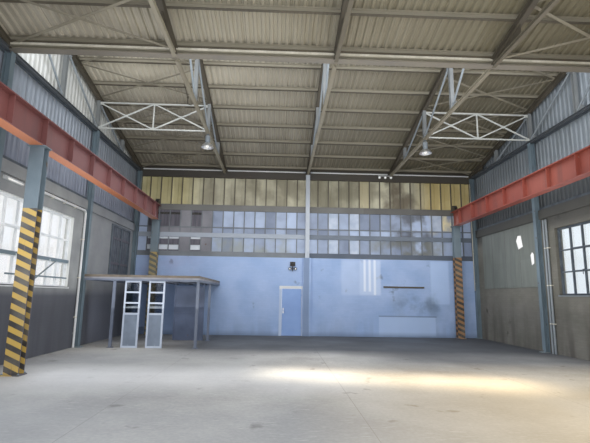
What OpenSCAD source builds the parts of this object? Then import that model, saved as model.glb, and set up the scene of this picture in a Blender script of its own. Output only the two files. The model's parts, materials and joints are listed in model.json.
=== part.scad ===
// Two-bay sawtooth-roof factory hall with a crane runway along both sides.
// Origin at ground level in the middle of the plan, +Z up, +Y towards the far wall, millimetres.

/* [Hall] */
// Width of one bay between truss lines
bay_w = 3700; // [3400:50:4200]
// Depth of one roof tooth, from its low edge to its glazed face
tooth_d = 9650; // [8600:50:10600]
// Thickness of the floor slab
floor_t = 150; // [100:10:250]
// Thickness of the masonry walls
wall_t = 250; // [200:10:400]
// Height of the end walls' masonry above the floor
end_wall_h = 3290; // [2900:10:3600]
// Height of the side walls' masonry above the floor
side_wall_h = 4600; // [4400:10:4700]
// Width and depth of the steel wall columns
column_w = 160; // [120:5:200]
// Thickness of the wall columns' flanges
column_flange_t = 13; // [9:1:16]
// Thickness of the wall columns' webs
column_web_t = 8; // [6:1:12]
// Width of the pilaster in the middle of an end wall
pilaster_w = 330; // [280:5:330]
// Depth of the pilaster
pilaster_d = 120; // [80:5:150]
// Width of the post that stands on the pilaster
post_w = 180; // [120:5:240]

/* [Roof] */
// Height of the rafters' top above the floor at the low edge
roof_low = 7210; // [7150:5:7300]
// Rise of the roof over one metre
roof_rise = 207; // [150:1:260]
// Depth of a rafter, square to its length
rafter_h = 160; // [120:5:200]
// Width of a rafter
rafter_w = 120; // [90:5:140]
// Thickness of the flanges of rafters and valley beams
flange_t = 11; // [8:1:14]
// Thickness of the webs of rafters and valley beams
web_t = 8; // [6:1:11]
// Height of the truss ties' underside above the floor
tie_z = 6990; // [6900:10:7030]
// Height of a truss tie
tie_h = 90; // [60:5:120]
// Width of a truss tie
tie_w = 90; // [60:5:110]
// Thickness of a truss tie's flanges and web
tie_t = 9; // [6:1:12]
// Width of a truss post
truss_post_w = 110; // [90:5:120]
// Thickness of a truss post's flanges and web
truss_post_t = 8; // [6:1:10]
// Diameter of a truss diagonal
truss_brace_d = 60; // [44:2:76]
// Wall of a truss diagonal
truss_brace_t = 5; // [3:1:8]
// Length of the plates that join a diagonal to a post
gusset_l = 260; // [200:10:320]
// Height of those plates
gusset_h = 170; // [140:10:220]
// Depth of a purlin
purlin_h = 120; // [80:5:140]
// Width of a purlin
purlin_w = 60; // [40:5:80]
// Thickness of a purlin's web and flanges
purlin_t = 6; // [4:1:9]
// Gap under purlins and roof sheets where they lie on a slope
seat_gap = 0.3; // [0.1:0.1:0.5]
// Distance between purlins, along the floor
purlin_pitch = 1073; // [950:1:1190]
// Thickness of the roof sheets
sheet_t = 9; // [6:1:12]
// Depth of the roof sheets' corrugation
sheet_wave = 51; // [30:1:60]
// Distance between two ribs of the roof sheets
sheet_pitch = 177; // [150:1:220]
// Overhang of the roof sheets past the end walls' outer face
eaves_over = 120; // [80:5:200]
// Overhang of the roof sheets past the side cladding
verge_over = 60; // [30:5:120]
// Size of the lattice girders' bars
lattice_bar = 40; // [30:1:60]
// Length of the plates at a lattice girder's joints
lattice_plate_l = 150; // [110:5:200]
// Height of those plates
lattice_plate_h = 90; // [70:5:120]
// Thickness of those plates
lattice_plate_t = 8; // [6:1:12]
// Gap between a lattice girder and the rafters' underside
lattice_gap = 20; // [10:1:40]
// Width of the roof's wind-brace bars
wind_brace_w = 60; // [40:5:80]
// Thickness of the roof's wind-brace bars
wind_brace_t = 10; // [6:1:14]
// Crossed panels of wind bracing along one roof tooth
wind_panels = 6; // [4:1:8]
// Length of the plates between rafter and tie at their low end
heel_l = 1200; // [800:20:1500]
// Thickness of those plates
heel_t = 12; // [8:1:16]
// Distance of the near tooth's sheets from the valley line
valley_lap = 20; // [10:1:60]

/* [North lights] */
// Height of the valley beam
valley_h = 100; // [80:5:100]
// Height of the valley beam's underside above the floor
valley_z = 7070; // [7050:5:7080]
// Height of the valley gutter
gutter_h = 160; // [120:5:180]
// Width of the valley gutter
gutter_w = 120; // [100:5:160]
// Wall of the valley gutter
gutter_t = 6; // [4:1:10]
// Gap between the valley gutter and the north lights
gutter_gap = 10; // [5:1:20]
// Gap between the valley gutter and the first purlin
gutter_clear = 4; // [2:1:20]
// Height of the head beam over the north lights
head_h = 120; // [90:5:130]
// Width of a north-light glazing bar
light_bar_w = 50; // [40:5:70]
// Depth of a north-light glazing bar
light_bar_d = 80; // [60:5:100]
// North-light glazing bars across one bay
lights_per_bay = 4; // [3:1:6]
// Thickness of the flat diagonals between the glazing bars
light_brace_t = 25; // [15:1:30]
// Setback of the glass in a north light
light_rebate = 30; // [20:1:45]
// Thickness of the glass
glass_t = 8; // [6:1:12]

/* [End-wall glazing] */
// Number of glazed panels across one bay
panels_per_bay = 8; // [6:1:10]
// Height of the sill beam
sill_h = 210; // [150:5:260]
// Underside of the middle rail above the floor
mid_rail_z = 4120; // [4000:10:4200]
// Height of the middle rail
mid_rail_h = 190; // [140:5:200]
// Underside of the thin bar above the floor
thin_bar_z = 4540; // [4450:10:4600]
// Height of the thin bar
thin_bar_h = 40; // [30:5:60]
// Underside of the upper rail above the floor
upper_rail_z = 5300; // [5200:10:5400]
// Height of the upper rail
upper_rail_h = 260; // [200:5:300]
// Underside of the eaves beam above the floor
eaves_z = 6790; // [6700:10:6850]
// Width of a glazing bar
bar_w = 40; // [30:2:60]
// Depth of the glazing frames
frame_d = 60; // [50:5:80]
// Depth of the eaves beam and the sill beam
beam_d = 120; // [100:5:150]
// Depth of the ribs on the translucent sheets
rib_d = 25; // [15:1:35]
// Thickness of the translucent sheets
band_t = 6; // [4:1:10]

/* [Gateway] */
// Panels of the end-wall glazing that the gateway is wide
gate_panels = 12; // [8:2:14]

/* [Door] */
// Width of the opening in the masonry
door_w = 940; // [900:5:1000]
// Height of the opening in the masonry
door_h = 2020; // [1950:5:2100]
// Distance from the pilaster to the opening
door_gap = 5; // [5:1:60]
// Width of the door frame's members
door_frame_w = 50; // [40:1:60]
// Depth of the door frame
door_frame_d = 100; // [80:5:120]
// Thickness of the door leaf
leaf_t = 45; // [38:1:50]
// Gap round the leaf
leaf_gap = 6; // [5:0.5:8]
// Gap under the leaf
leaf_floor_gap = 10; // [6:1:15]
// Radius of the hinge knuckles
hinge_r = 9; // [7:0.5:11]
// Height of a hinge
hinge_h = 110; // [80:5:130]
// Length of a hinge's plates
hinge_leaf = 40; // [30:1:45]
// Thickness of a hinge's plates
hinge_t = 6; // [4:0.5:7]
// Gap between the two halves of a hinge
hinge_gap = 0.3; // [0.1:0.1:0.5]
// Radius of the hinge pins
pin_r = 4.5; // [3.5:0.5:5]
// Running gap round the hinge pins
pin_gap = 0.08; // [0.05:0.01:0.1]
// Distance of the hinges from the leaf's ends
hinge_in = 250; // [200:10:400]
// Height of the door handle above the floor
handle_z = 1040; // [950:10:1100]
// Distance of the handle's spindle from the leaf's edge
handle_in = 60; // [50:5:80]
// Length of the handle's lever
handle_l = 115; // [100:5:130]
// Distance of the handle's lever from the leaf
handle_reach = 42; // [36:1:50]
// Half the handle's thickness
handle_r = 9; // [7:0.5:11]

/* [Side walls] */
// Sill of the side windows above the floor
window_sill = 1800; // [1600:10:2000]
// Head of the side windows above the floor
window_head = 3900; // [3700:10:4100]
// Width of a side window
window_w = 3800; // [3400:10:3900]
// Distance from the next wall column to a side window
window_side = 250; // [200:10:400]
// Width of a side window's frame
window_frame_w = 60; // [40:5:80]
// Columns of panes in a side window
window_cols = 7; // [5:1:9]
// Rows of panes in a side window
window_rows = 3; // [2:1:4]
// Height of the beams along the top of the side walls' masonry
ring_h = 300; // [200:10:340]
// How far those beams stand out into the hall
ring_d = 60; // [40:5:75]
// Gap between those beams and the wall columns
ring_gap = 5; // [2:1:20]
// Depth of the girts behind the side cladding
girt_d = 80; // [60:5:100]
// Height of a girt
girt_h = 90; // [60:5:120]
// Thickness of a girt's web and flanges
girt_t = 6; // [4:1:9]
// Underside of the right wall's sheet lining above the floor
panel_z = 2080; // [1900:10:2300]
// Height of that lining
panel_h = 2200; // [1950:10:2300]
// Length of that lining
panel_l = 4090; // [3600:10:4600]
// Thickness of that lining
panel_t = 12; // [8:1:20]
// Overlap of a lining over the edges of the wall opening that it closes
panel_lap = 120; // [60:10:200]
// Distance of the left wall's boarded window from the far wall
board_in = 600; // [400:10:800]
// Length of the boarded window
board_l = 2000; // [1700:10:2300]
// Height of the boarded window
board_h = 1900; // [1700:10:1950]
// Underside of the boarded window above the floor
board_z = 2320; // [2310:5:2340]
// Width of the boarded window's frame members
board_rim = 70; // [50:5:90]
// Depth of the boarded window's frame
board_d = 50; // [40:5:70]
// Thickness of the side cladding
clad_t = 6; // [4:1:10]
// Depth of the side cladding's ribs
clad_wave = 35; // [25:1:50]
// Distance between two ribs of the side cladding
clad_pitch = 200; // [160:1:260]

/* [Crane runway] */
// Distance from the hall's middle to a crane girder
crane_x = 6500; // [6400:10:6700]
// Underside of a crane girder above the floor
crane_z = 4780; // [4650:10:4850]
// Height of a crane girder
crane_h = 650; // [550:10:700]
// Width of a crane girder's flanges
crane_flange_w = 280; // [220:5:300]
// Thickness of a crane girder's flanges
crane_flange_t = 25; // [18:1:35]
// Thickness of a crane girder's web
crane_web_t = 14; // [10:1:20]
// Distance between a crane girder's web stiffeners
stiffener_pitch = 1250; // [1000:10:1500]
// Thickness of a web stiffener
stiffener_t = 12; // [8:1:16]
// Setback of a web stiffener from the flanges' edges
stiffener_in = 15; // [5:1:30]
// Height of the crane rail
rail_h = 60; // [45:5:75]
// Width of the crane rail
rail_w = 50; // [40:5:60]
// Width of a crane column
crane_column_w = 300; // [260:10:340]
// Depth of a crane column
crane_column_d = 220; // [180:10:260]
// Thickness of a crane column's plates
crane_column_t = 20; // [12:1:24]
// Overhang of a crane column's foot plate and cap plate
foot_over = 40; // [30:5:60]
// Thickness of a crane column's foot plate and cap plate
foot_t = 20; // [15:1:30]
// Gap between a crane girder's ends and the end walls
crane_gap = 100; // [60:10:150]
// Distance from the end walls to the outer crane columns
crane_end = 280; // [240:10:400]

/* [Store platform] */
// Top of the platform above the floor
deck_z = 2200; // [2100:10:2400]
// Height of the platform's edge beams, with the deck
deck_t = 150; // [120:5:180]
// Thickness of the deck's planks
plank_t = 40; // [30:1:50]
// Width of the flanges of the platform's beams
deck_flange_w = 60; // [50:2:70]
// Thickness of the platform's steel
deck_steel_t = 8; // [6:1:10]
// Distance between the platform's joists
joist_pitch = 600; // [500:10:750]
// Length of the platform along the side wall
deck_d = 4900; // [4500:10:5100]
// Width of the platform
deck_w = 3600; // [3300:10:3800]
// Size of the platform's posts
deck_post_w = 80; // [60:5:100]
// Gap between the platform and the crane column that stands in it
deck_gap = 10; // [5:1:30]
// Distance from the side wall's columns to the platform's first posts
deck_post_in = 910; // [500:10:1100]
// Distance from the side wall's columns to the first screen
screen_in = 1270; // [1100:10:1400]
// Distance between the two screens' left edges
screen_pitch = 750; // [650:10:900]
// Width of a glazed screen
screen_w = 500; // [450:10:560]
// Width of a screen's frame members
screen_rim = 50; // [35:5:60]
// Height of a screen's boarded part
screen_low = 1060; // [900:10:1200]
// Thickness of a screen's frame
screen_t = 45; // [35:5:60]

/* [Fittings] */
// Radius of the lighting tube along the eaves
tube_r = 30; // [20:1:40]
// Distance of a lighting tube's ends from the truss lines
tube_in = 160; // [120:5:300]
// Radius of a lamp's reflector
lamp_r = 210; // [195:5:240]
// Radius of the reflector's shoulder
lamp_shoulder_r = 168; // [140:2:180]
// Drop of the reflector's shoulder under the housing
lamp_shoulder_h = 68; // [50:1:90]
// Height of a lamp's reflector
lamp_dome_h = 150; // [110:5:180]
// Radius of a lamp's housing
lamp_can_r = 85; // [60:5:100]
// Height of a lamp's housing
lamp_can_h = 260; // [200:10:300]
// Distance between a lamp's housing and the tie
lamp_drop = 60; // [40:5:100]
// Radius of a lamp's stem
lamp_stem_r = 12; // [8:1:16]
// Thickness of a lamp's reflector
lamp_t = 8; // [5:1:12]
// Radius of the conduits on the side walls
conduit_r = 35; // [20:1:45]
// Height of the left wall's conduit above the floor
conduit_z = 4240; // [4100:10:4250]
// Length of the left wall's conduit
conduit_l = 2900; // [2000:50:4000]
// Radius of the left conduit's bend
bend_r = 120; // [80:5:200]
// Gap between a pipe and the face that carries it
pipe_off = 15; // [10:1:40]

/* [Hidden] */

bays = 4;
teeth = 2;
hall_w = bays * bay_w;
hall_d = teeth * tooth_d;
half_w = hall_w / 2;
half_d = hall_d / 2;
wall_in = half_w + column_w / 2;
wall_out = wall_in + wall_t;
slope = roof_rise / 1000;
tilt = atan(slope);
rafter_v = rafter_h / cos(tilt);
purlin_v = purlin_h / cos(tilt);
light_y0 = gutter_w / 2 + gutter_gap;
light_y1 = light_y0 + light_bar_d;
valley_y0 = -gutter_w / 2;
rafter_end = tooth_d - light_y1;
first_purlin = gutter_w / 2 + gutter_clear;
sheets_end = tooth_d + wall_t + eaves_over;
post_step = tooth_d / 4;
wind_step = tooth_d / wind_panels;
panel_w = bay_w / panels_per_bay;
side_bay = hall_d / bays;
frames_x = [for (i = [0 : bays]) -half_w + i * bay_w];
columns_y = [for (i = [0 : bays])
    min(max(half_d - i * side_bay, -half_d + column_w / 2), half_d - column_w / 2)];
gate_w = gate_panels * panel_w;
door_x1 = -pilaster_w / 2 - door_gap;
door_x0 = door_x1 - door_w;
clad_x = wall_in + girt_d;
clad_out = clad_x + clad_wave + clad_t;
reach = 2 * hall_d;
torn_holes = [
    [[990, 1440], [1300, 1370], [1430, 1690], [1310, 1870], [1080, 1850]],
    [[360, 800], [520, 740], [570, 1100], [450, 1200], [350, 1110]]
];

function lvl(h) = floor_t + h;
function tooth_y(k) = half_d - k * tooth_d;
function roof_z(u) = lvl(roof_low) + slope * u;

// A slab between two corners
module block(p, q) {
    translate(p)
        cube(q - p);
}

// A shape drawn as (distance from the low edge, height), w wide, centred on x, in roof tooth k
module across(x, k, w) {
    translate([x - w / 2, tooth_y(k), 0])
        rotate([90, 0, 90])
            linear_extrude(w)
                mirror([1, 0])
                    children();
}

// A straight bar between two points of a drawing
module bar_2d(p, q, w) {
    translate(p)
        rotate(atan2(q[1] - p[1], q[0] - p[0]))
            translate([0, -w / 2])
                square([norm(q - p), w]);
}

// An I-section, w wide and h high, standing on the drawing's origin
module i_section_2d(w, h, flange, web) {
    translate([-w / 2, 0])
        square([w, flange]);
    translate([-web / 2, 0])
        square([web, h]);
    translate([-w / 2, h - flange])
        square([w, flange]);
}

// A channel section with its web on the height axis
module channel_2d(w, h, t) {
    difference() {
        square([w, h]);
        translate([t, t])
            square([w, h - 2 * t]);
    }
}

// A section drawn as (across, height) and run along X from x0 to x1
module run_x(x0, x1, y, z) {
    translate([x0, y, z])
        rotate([90, 0, 90])
            linear_extrude(x1 - x0)
                children();
}

// A section drawn as (across, height) and run along Y from y0 to y1
module run_y(y0, y1, x, z) {
    translate([x, y1, z])
        rotate([90, 0, 0])
            linear_extrude(y1 - y0)
                children();
}

// The section of a sloping strip of the roof, from a to b, low to high above the rafters' top
module roof_strip_2d(a, b, low, high) {
    polygon([
        [a, roof_z(a) + low],
        [b, roof_z(b) + low],
        [b, roof_z(b) + high],
        [a, roof_z(a) + high]
    ]);
}

// Points of a ribbed sheet's section: n waves of trapezoid ribs, t thick
function rib_line(n, pitch, wave, dz) = [
    for (i = [0 : n - 1])
        for (p = [[0, 0], [0.18, 0], [0.32, 1], [0.68, 1], [0.82, 0]])
            [(i + p[0]) * pitch, p[1] * wave + dz],
    [n * pitch, dz]
];

function reversed(list) = [for (i = [len(list) - 1 : -1 : 0]) list[i]];

module ribbed_2d(length, pitch, wave, t) {
    n = round(length / pitch);
    real_pitch = length / n;
    polygon(concat(
        rib_line(n, real_pitch, wave, 0),
        reversed(rib_line(n, real_pitch, wave, t))
    ));
}

// The floor inside the walls, with the sills of the doorway and the gateway
module floor_slab() {
    color("#a8a59c")
        union() {
            block([-wall_in, -half_d, 0], [wall_in, half_d, floor_t]);
            block([door_x0, half_d - 1, 0], [door_x1, half_d + wall_t, floor_t]);
            block([-gate_w / 2, -half_d - wall_t, 0], [gate_w / 2, 1 - half_d, floor_t]);
        }
}

// Masonry of the far wall, left of the door
module far_wall_left() {
    color("#93aed6")
        block([-wall_out, half_d, 0], [door_x0, half_d + wall_t, lvl(end_wall_h)]);
}

// Masonry of the far wall, right of the door, with its pilaster
module far_wall_right() {
    color("#93aed6")
        union() {
            block([door_x1, half_d, 0], [wall_out, half_d + wall_t, lvl(end_wall_h)]);
            block([-pilaster_w / 2, half_d - pilaster_d, floor_t],
                [pilaster_w / 2, half_d + 1, lvl(end_wall_h)]);
        }
}

// Masonry over the door
module far_wall_lintel() {
    color("#93aed6")
        block([door_x0, half_d, lvl(door_h)], [door_x1, half_d + wall_t, lvl(end_wall_h)]);
}

leaf_x0 = door_x0 + door_frame_w + leaf_gap;
leaf_x1 = door_x1 - door_frame_w - leaf_gap;
leaf_top = lvl(door_h - door_frame_w - leaf_gap);
hinge_x = leaf_x1 + leaf_gap / 2;
hinge_y = half_d - hinge_r - 1;
hinge_half = hinge_h / 2;
hinges_z = [lvl(hinge_in), leaf_top - hinge_in - hinge_h];

// Three members round the door, with the fixed halves of the hinges and their pins
module door_frame() {
    color("#e8ecef")
        union() {
            difference() {
                block([door_x0, half_d, floor_t], [door_x1, half_d + door_frame_d, lvl(door_h)]);
                block([door_x0 + door_frame_w, half_d - 1, floor_t - 1],
                    [door_x1 - door_frame_w, half_d + door_frame_d + 1, lvl(door_h - door_frame_w)]);
            }
            for (z = hinges_z) {
                translate([hinge_x, hinge_y, z])
                    cylinder(r = hinge_r, h = hinge_half - hinge_gap, $fn = 32);
                translate([hinge_x, hinge_y, z])
                    cylinder(r = pin_r, h = hinge_h, $fn = 32);
                block([hinge_x, half_d - hinge_t, z],
                    [hinge_x + hinge_leaf, half_d, z + hinge_half - hinge_gap]);
                block([door_x1 - door_frame_w, half_d - hinge_t, z],
                    [hinge_x + hinge_leaf, half_d + 1, z + hinge_half - hinge_gap]);
            }
        }
}

// The door leaf with its hinge knuckles and handle
module door_leaf() {
    color("#7f9bc4")
        union() {
            block([leaf_x0, half_d, lvl(leaf_floor_gap)], [leaf_x1, half_d + leaf_t, leaf_top]);
            for (z = hinges_z)
                difference() {
                    union() {
                        translate([hinge_x, hinge_y, z + hinge_half])
                            cylinder(r = hinge_r, h = hinge_half, $fn = 32);
                        block([leaf_x1 - hinge_leaf, half_d - hinge_t, z + hinge_half],
                            [hinge_x, half_d, z + hinge_h]);
                        block([leaf_x1 - hinge_leaf, half_d - hinge_t, z + hinge_half],
                            [leaf_x1, half_d + 1, z + hinge_h]);
                    }
                    translate([hinge_x, hinge_y, z])
                        cylinder(r = pin_r + pin_gap, h = 2 * hinge_h, $fn = 32);
                }
            translate([leaf_x0 + handle_in, half_d - handle_reach, lvl(handle_z)])
                rotate([-90, 0, 0])
                    cylinder(r = handle_r, h = leaf_t + 2 * handle_reach, $fn = 24);
            for (y = [half_d - handle_reach - handle_r, half_d + leaf_t + handle_reach - handle_r])
                block([leaf_x0 + handle_in - handle_r, y, lvl(handle_z) - handle_r],
                    [leaf_x0 + handle_in + handle_l, y + 2 * handle_r, lvl(handle_z) + handle_r]);
        }
}

// Bars and rails of an end wall's glazing; open_w leaves the bars out over a gateway
module end_frame(open_w) {
    frame_y = beam_d / 2 - frame_d / 2;
    for (i = [1 : bays * panels_per_bay - 1]) {
        x = -half_w + i * panel_w;
        low = abs(x) < open_w / 2 - 1 ? mid_rail_z + mid_rail_h / 2 : end_wall_h + sill_h / 2;
        block([x - bar_w / 2, frame_y, lvl(low)], [x + bar_w / 2, frame_y + frame_d, lvl(eaves_z)]);
    }
    for (side = [-1, 1]) {
        x0 = open_w / 2;
        block([side > 0 ? x0 : -wall_in, 0, lvl(end_wall_h)],
            [side > 0 ? wall_in : -x0, beam_d, lvl(end_wall_h + sill_h)]);
        block([side > 0 ? wall_in - column_w : -wall_in, frame_y, lvl(end_wall_h + sill_h / 2)],
            [side > 0 ? wall_in : -wall_in + column_w, frame_y + frame_d, lvl(eaves_z)]);
    }
    for (rail = [[mid_rail_z, mid_rail_h], [thin_bar_z, thin_bar_h], [upper_rail_z, upper_rail_h]])
        block([-wall_in, frame_y, lvl(rail[0])], [wall_in, frame_y + frame_d, lvl(rail[0] + rail[1])]);
}

// Panes of an end wall's glazing, one sheet to a storey
module end_glass(open_w) {
    y = beam_d / 2 + frame_d / 2;
    x0 = open_w / 2;
    if (open_w > 0) {
        for (side = [-1, 1])
            block([side > 0 ? x0 + bar_w : -wall_in, y, lvl(end_wall_h + sill_h)],
                [side > 0 ? wall_in : -x0 - bar_w, y + glass_t, lvl(mid_rail_z)]);
    } else {
        block([-wall_in, y, lvl(end_wall_h + sill_h)], [wall_in, y + glass_t, lvl(mid_rail_z)]);
    }
    block([-wall_in, y, lvl(mid_rail_z + mid_rail_h)], [wall_in, y + glass_t, lvl(upper_rail_z)]);
}

// Ribbed translucent sheets over an end wall's glazing
module end_band() {
    y = beam_d / 2 + frame_d / 2;
    translate([-wall_in, y, lvl(upper_rail_z + upper_rail_h / 2)])
        linear_extrude(eaves_z - upper_rail_z - upper_rail_h / 2)
            ribbed_2d(2 * wall_in, panel_w, rib_d, band_t);
}

module far_window_frame() {
    color("#8a9199")
        translate([0, half_d, 0])
            end_frame(0);
}

module far_window_glass() {
    color("#a9bcd8")
        translate([0, half_d, 0])
            end_glass(0);
}

module far_light_band() {
    color("#a39a6c")
        translate([0, half_d, 0])
            end_band();
}

// Channel beam along the top of the far wall, up to the roof sheets
module far_eaves_beam() {
    color("#4a473f")
        across(0, 0, 2 * wall_in)
            difference() {
                polygon([
                    [-beam_d, lvl(eaves_z)],
                    [0, lvl(eaves_z)],
                    [0, roof_z(0) + purlin_v],
                    [-beam_d, roof_z(-beam_d) + purlin_v]
                ]);
                polygon([
                    [-reach, lvl(eaves_z) + flange_t],
                    [-web_t, lvl(eaves_z) + flange_t],
                    [-web_t, roof_z(-web_t) + purlin_v - flange_t],
                    [-beam_d, roof_z(-beam_d) + purlin_v - flange_t],
                    [-reach, roof_z(-beam_d) + purlin_v - flange_t]
                ]);
            }
}

module front_wall_side(side) {
    x0 = gate_w / 2;
    color("#b9b4a6")
        block([side > 0 ? x0 : -wall_out, -half_d - wall_t, 0],
            [side > 0 ? wall_out : -x0, -half_d, lvl(end_wall_h)]);
}

module front_wall_left() {
    front_wall_side(-1);
}

module front_wall_right() {
    front_wall_side(1);
}

module front_window_frame() {
    color("#8a9199")
        mirror([0, 1, 0])
            translate([0, half_d, 0])
                union() {
                    end_frame(gate_w);
                    for (x = [-gate_w / 2 - bar_w, gate_w / 2])
                        block([x, 0, lvl(end_wall_h)], [x + bar_w, beam_d, lvl(mid_rail_z + 1)]);
                    block([-wall_in, 0, lvl(eaves_z)], [wall_in, beam_d, lvl(valley_z)]);
                }
}

module front_window_glass() {
    color("#a9bcd8")
        mirror([0, 1, 0])
            translate([0, half_d, 0])
                end_glass(gate_w);
}

module front_light_band() {
    color("#a39a6c")
        mirror([0, 1, 0])
            translate([0, half_d, 0])
                end_band();
}

// Places of the side windows along the hall: every side bay but the one beside the far wall
windows_y = [for (i = [1 : bays - 1]) half_d - (i + 1) * side_bay + window_side];
panel_y = half_d - side_bay + column_w / 2;
board_y = half_d - board_in - board_l;

// Masonry of a side wall with its windows, one lined opening and the beam along its top
module side_wall(side, lined_y, lined_z, lined_l, lined_h) {
    x0 = side > 0 ? wall_in : -wall_out;
    x1 = side > 0 ? wall_in - ring_d : -wall_in - 1;
    difference() {
        union() {
            block([x0, -half_d, 0], [x0 + wall_t, half_d, lvl(side_wall_h)]);
            for (i = [0 : bays - 1])
                block([x1, columns_y[i + 1] + column_w / 2 + ring_gap, lvl(side_wall_h - ring_h)],
                    [x1 + ring_d + 1, columns_y[i] - column_w / 2 - ring_gap, lvl(side_wall_h)]);
        }
        for (y = windows_y)
            block([x0 - 1, y, lvl(window_sill)], [x0 + wall_t + 1, y + window_w, lvl(window_head)]);
        block([x0 - 1, lined_y + panel_lap, lvl(lined_z) + panel_lap],
            [x0 + wall_t + 1, lined_y + lined_l - panel_lap, lvl(lined_z + lined_h) - panel_lap]);
    }
}

module left_wall() {
    color("#8d9092")
        side_wall(-1, board_y, board_z, board_l, board_h);
}

module right_wall() {
    color("#7b6a5c")
        side_wall(1, panel_y, panel_z, panel_l, panel_h);
}

// Steel frames with their glazing bars in the side walls' windows
module side_window_frames() {
    color("#4d555c")
        for (side = [-1, 1])
            for (y = windows_y)
                translate([side * (wall_in + wall_t / 2) - window_frame_w / 2, y, lvl(window_sill)])
                    difference() {
                        cube([window_frame_w, window_w, window_head - window_sill]);
                        pane_w = (window_w - window_frame_w * 2 - bar_w * (window_cols - 1)) / window_cols;
                        pane_h = (window_head - window_sill - window_frame_w * 2
                            - bar_w * (window_rows - 1)) / window_rows;
                        for (i = [0 : window_cols - 1])
                            for (j = [0 : window_rows - 1])
                                translate([-1, window_frame_w + i * (pane_w + bar_w),
                                    window_frame_w + j * (pane_h + bar_w)])
                                    cube([window_frame_w + 2, pane_w, pane_h]);
                    }
}

// One sheet of glass on the outer side of each side window's frame
module side_window_glass() {
    color("#cfe0ec")
        for (side = [-1, 1])
            for (y = windows_y) {
                x = side * (wall_in + wall_t / 2 + window_frame_w / 2);
                block([min(x, x + side * glass_t), y, lvl(window_sill)],
                    [max(x, x + side * glass_t), y + window_w, lvl(window_head)]);
            }
}

// Outline of the wall above the masonry, under the roof sheets, for one tooth
module gable_2d(low) {
    polygon([
        [0, low],
        [tooth_d, low],
        [tooth_d, roof_z(tooth_d) + purlin_v],
        [0, roof_z(0) + purlin_v]
    ]);
}

// Ribbed sheets of one side wall, from the masonry up to the roof
module side_cladding(side) {
    for (k = [0 : teeth - 1])
        intersection() {
            across(side * (clad_x + clad_wave / 2 + clad_t / 2), k, 4 * clad_wave)
                gable_2d(lvl(side_wall_h));
            translate([side * clad_x, tooth_y(k), 0])
                rotate([0, 0, -90])
                    mirror([0, side > 0 ? 0 : 1, 0])
                        linear_extrude(roof_z(tooth_d) + 2 * purlin_v)
                            ribbed_2d(tooth_d, clad_pitch, clad_wave, clad_t);
        }
}

module left_cladding() {
    color("#9aa3b5")
        side_cladding(-1);
}

module right_cladding() {
    color("#8fa0a3")
        side_cladding(1);
}

// Channels that carry the side cladding, outside the wall columns
module side_girts() {
    color("#59626a")
        for (h = [side_wall_h, (side_wall_h + tie_z) / 2, tie_z]) {
            run_y(-half_d, half_d, wall_in, lvl(h))
                channel_2d(girt_d, girt_h, girt_t);
            run_y(-half_d, half_d, -wall_in, lvl(h))
                mirror([1, 0])
                    channel_2d(girt_d, girt_h, girt_t);
        }
}

// Sheet-metal lining over the right wall's opening beside the far corner, with two torn holes
module right_sheet_panel() {
    color("#7c8078")
        run_x(wall_in - panel_t, wall_in, panel_y, lvl(panel_z))
            difference() {
                square([panel_l, panel_h]);
                for (hole = torn_holes)
                    polygon(hole);
            }
}

// Window of the left wall over the platform, closed with sheet behind its frame
module left_boarded_window() {
    light_w = (board_l - 3 * board_rim) / 2;
    color("#565c66")
        union() {
            run_x(-wall_in, -wall_in + board_d, board_y, lvl(board_z))
                difference() {
                    square([board_l, board_h]);
                    for (i = [0, 1])
                        translate([board_rim + i * (light_w + board_rim), board_rim])
                            square([light_w, board_h - 2 * board_rim]);
                }
            run_x(-wall_in, -wall_in + panel_t, board_y, lvl(board_z))
                square([board_l, board_h]);
        }
}

// I-section columns of the side walls, at the ends and quarters of the hall, flanges along the wall
module wall_columns() {
    color("#7d8f92")
        for (side = [-1, 1])
            for (y = columns_y)
                translate([side * half_w + column_w / 2, y, floor_t])
                    linear_extrude(tie_z)
                        rotate(90)
                            i_section_2d(column_w, column_w, column_flange_t, column_web_t);
}

// Posts between the masonry and the roof in the middle of the end walls
module centre_posts() {
    color("#d5dade")
        block([-post_w / 2, half_d - pilaster_d, lvl(end_wall_h)], [post_w / 2, half_d, lvl(tie_z)]);
}

// Where the trusses of tooth k begin: at the far wall or at the valley beam
function truss_start(k) = k == 0 ? 0 : -valley_y0;

// Plate in the narrow corner between rafter and tie
module heel_2d(k) {
    difference() {
        translate([truss_start(k), lvl(tie_z + tie_h)])
            square([heel_l, reach]);
        roof_strip_2d(-reach, reach, 0, reach);
    }
}

// I-section rafters, each with its plate at the low end
module rafters() {
    color("#4a473f")
        for (x = frames_x)
            for (k = [0 : teeth - 1])
                union() {
                    across(x, k, web_t)
                        roof_strip_2d(truss_start(k), rafter_end, -rafter_v, 0);
                    for (low = [-rafter_v, -flange_t])
                        across(x, k, rafter_w)
                            roof_strip_2d(truss_start(k), rafter_end, low, low + flange_t);
                    across(x, k, heel_t)
                        heel_2d(k);
                }
}

// The strip of a tie from low to high over its underside, where it is clear of the rafter
module tie_2d(k, low, high) {
    difference() {
        translate([truss_start(k), lvl(tie_z) + low])
            square([rafter_end - truss_start(k), high - low]);
        roof_strip_2d(-reach, reach, -rafter_v, reach);
    }
}

// I-section ties
module truss_ties() {
    color("#57534a")
        for (x = frames_x)
            for (k = [0 : teeth - 1])
                union() {
                    across(x, k, tie_t)
                        tie_2d(k, 0, tie_h);
                    for (low = [0, tie_h - tie_t])
                        across(x, k, tie_w)
                            tie_2d(k, low, low + tie_t);
                }
}

// Upright strips of one truss between tie and rafter, from a to b beside each post's middle
module posts_2d(a, b) {
    difference() {
        for (i = [1 : 3])
            translate([i * post_step + a, lvl(tie_z + tie_h)])
                square([b - a, reach]);
        roof_strip_2d(-reach, reach, -rafter_v, reach);
    }
}

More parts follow.
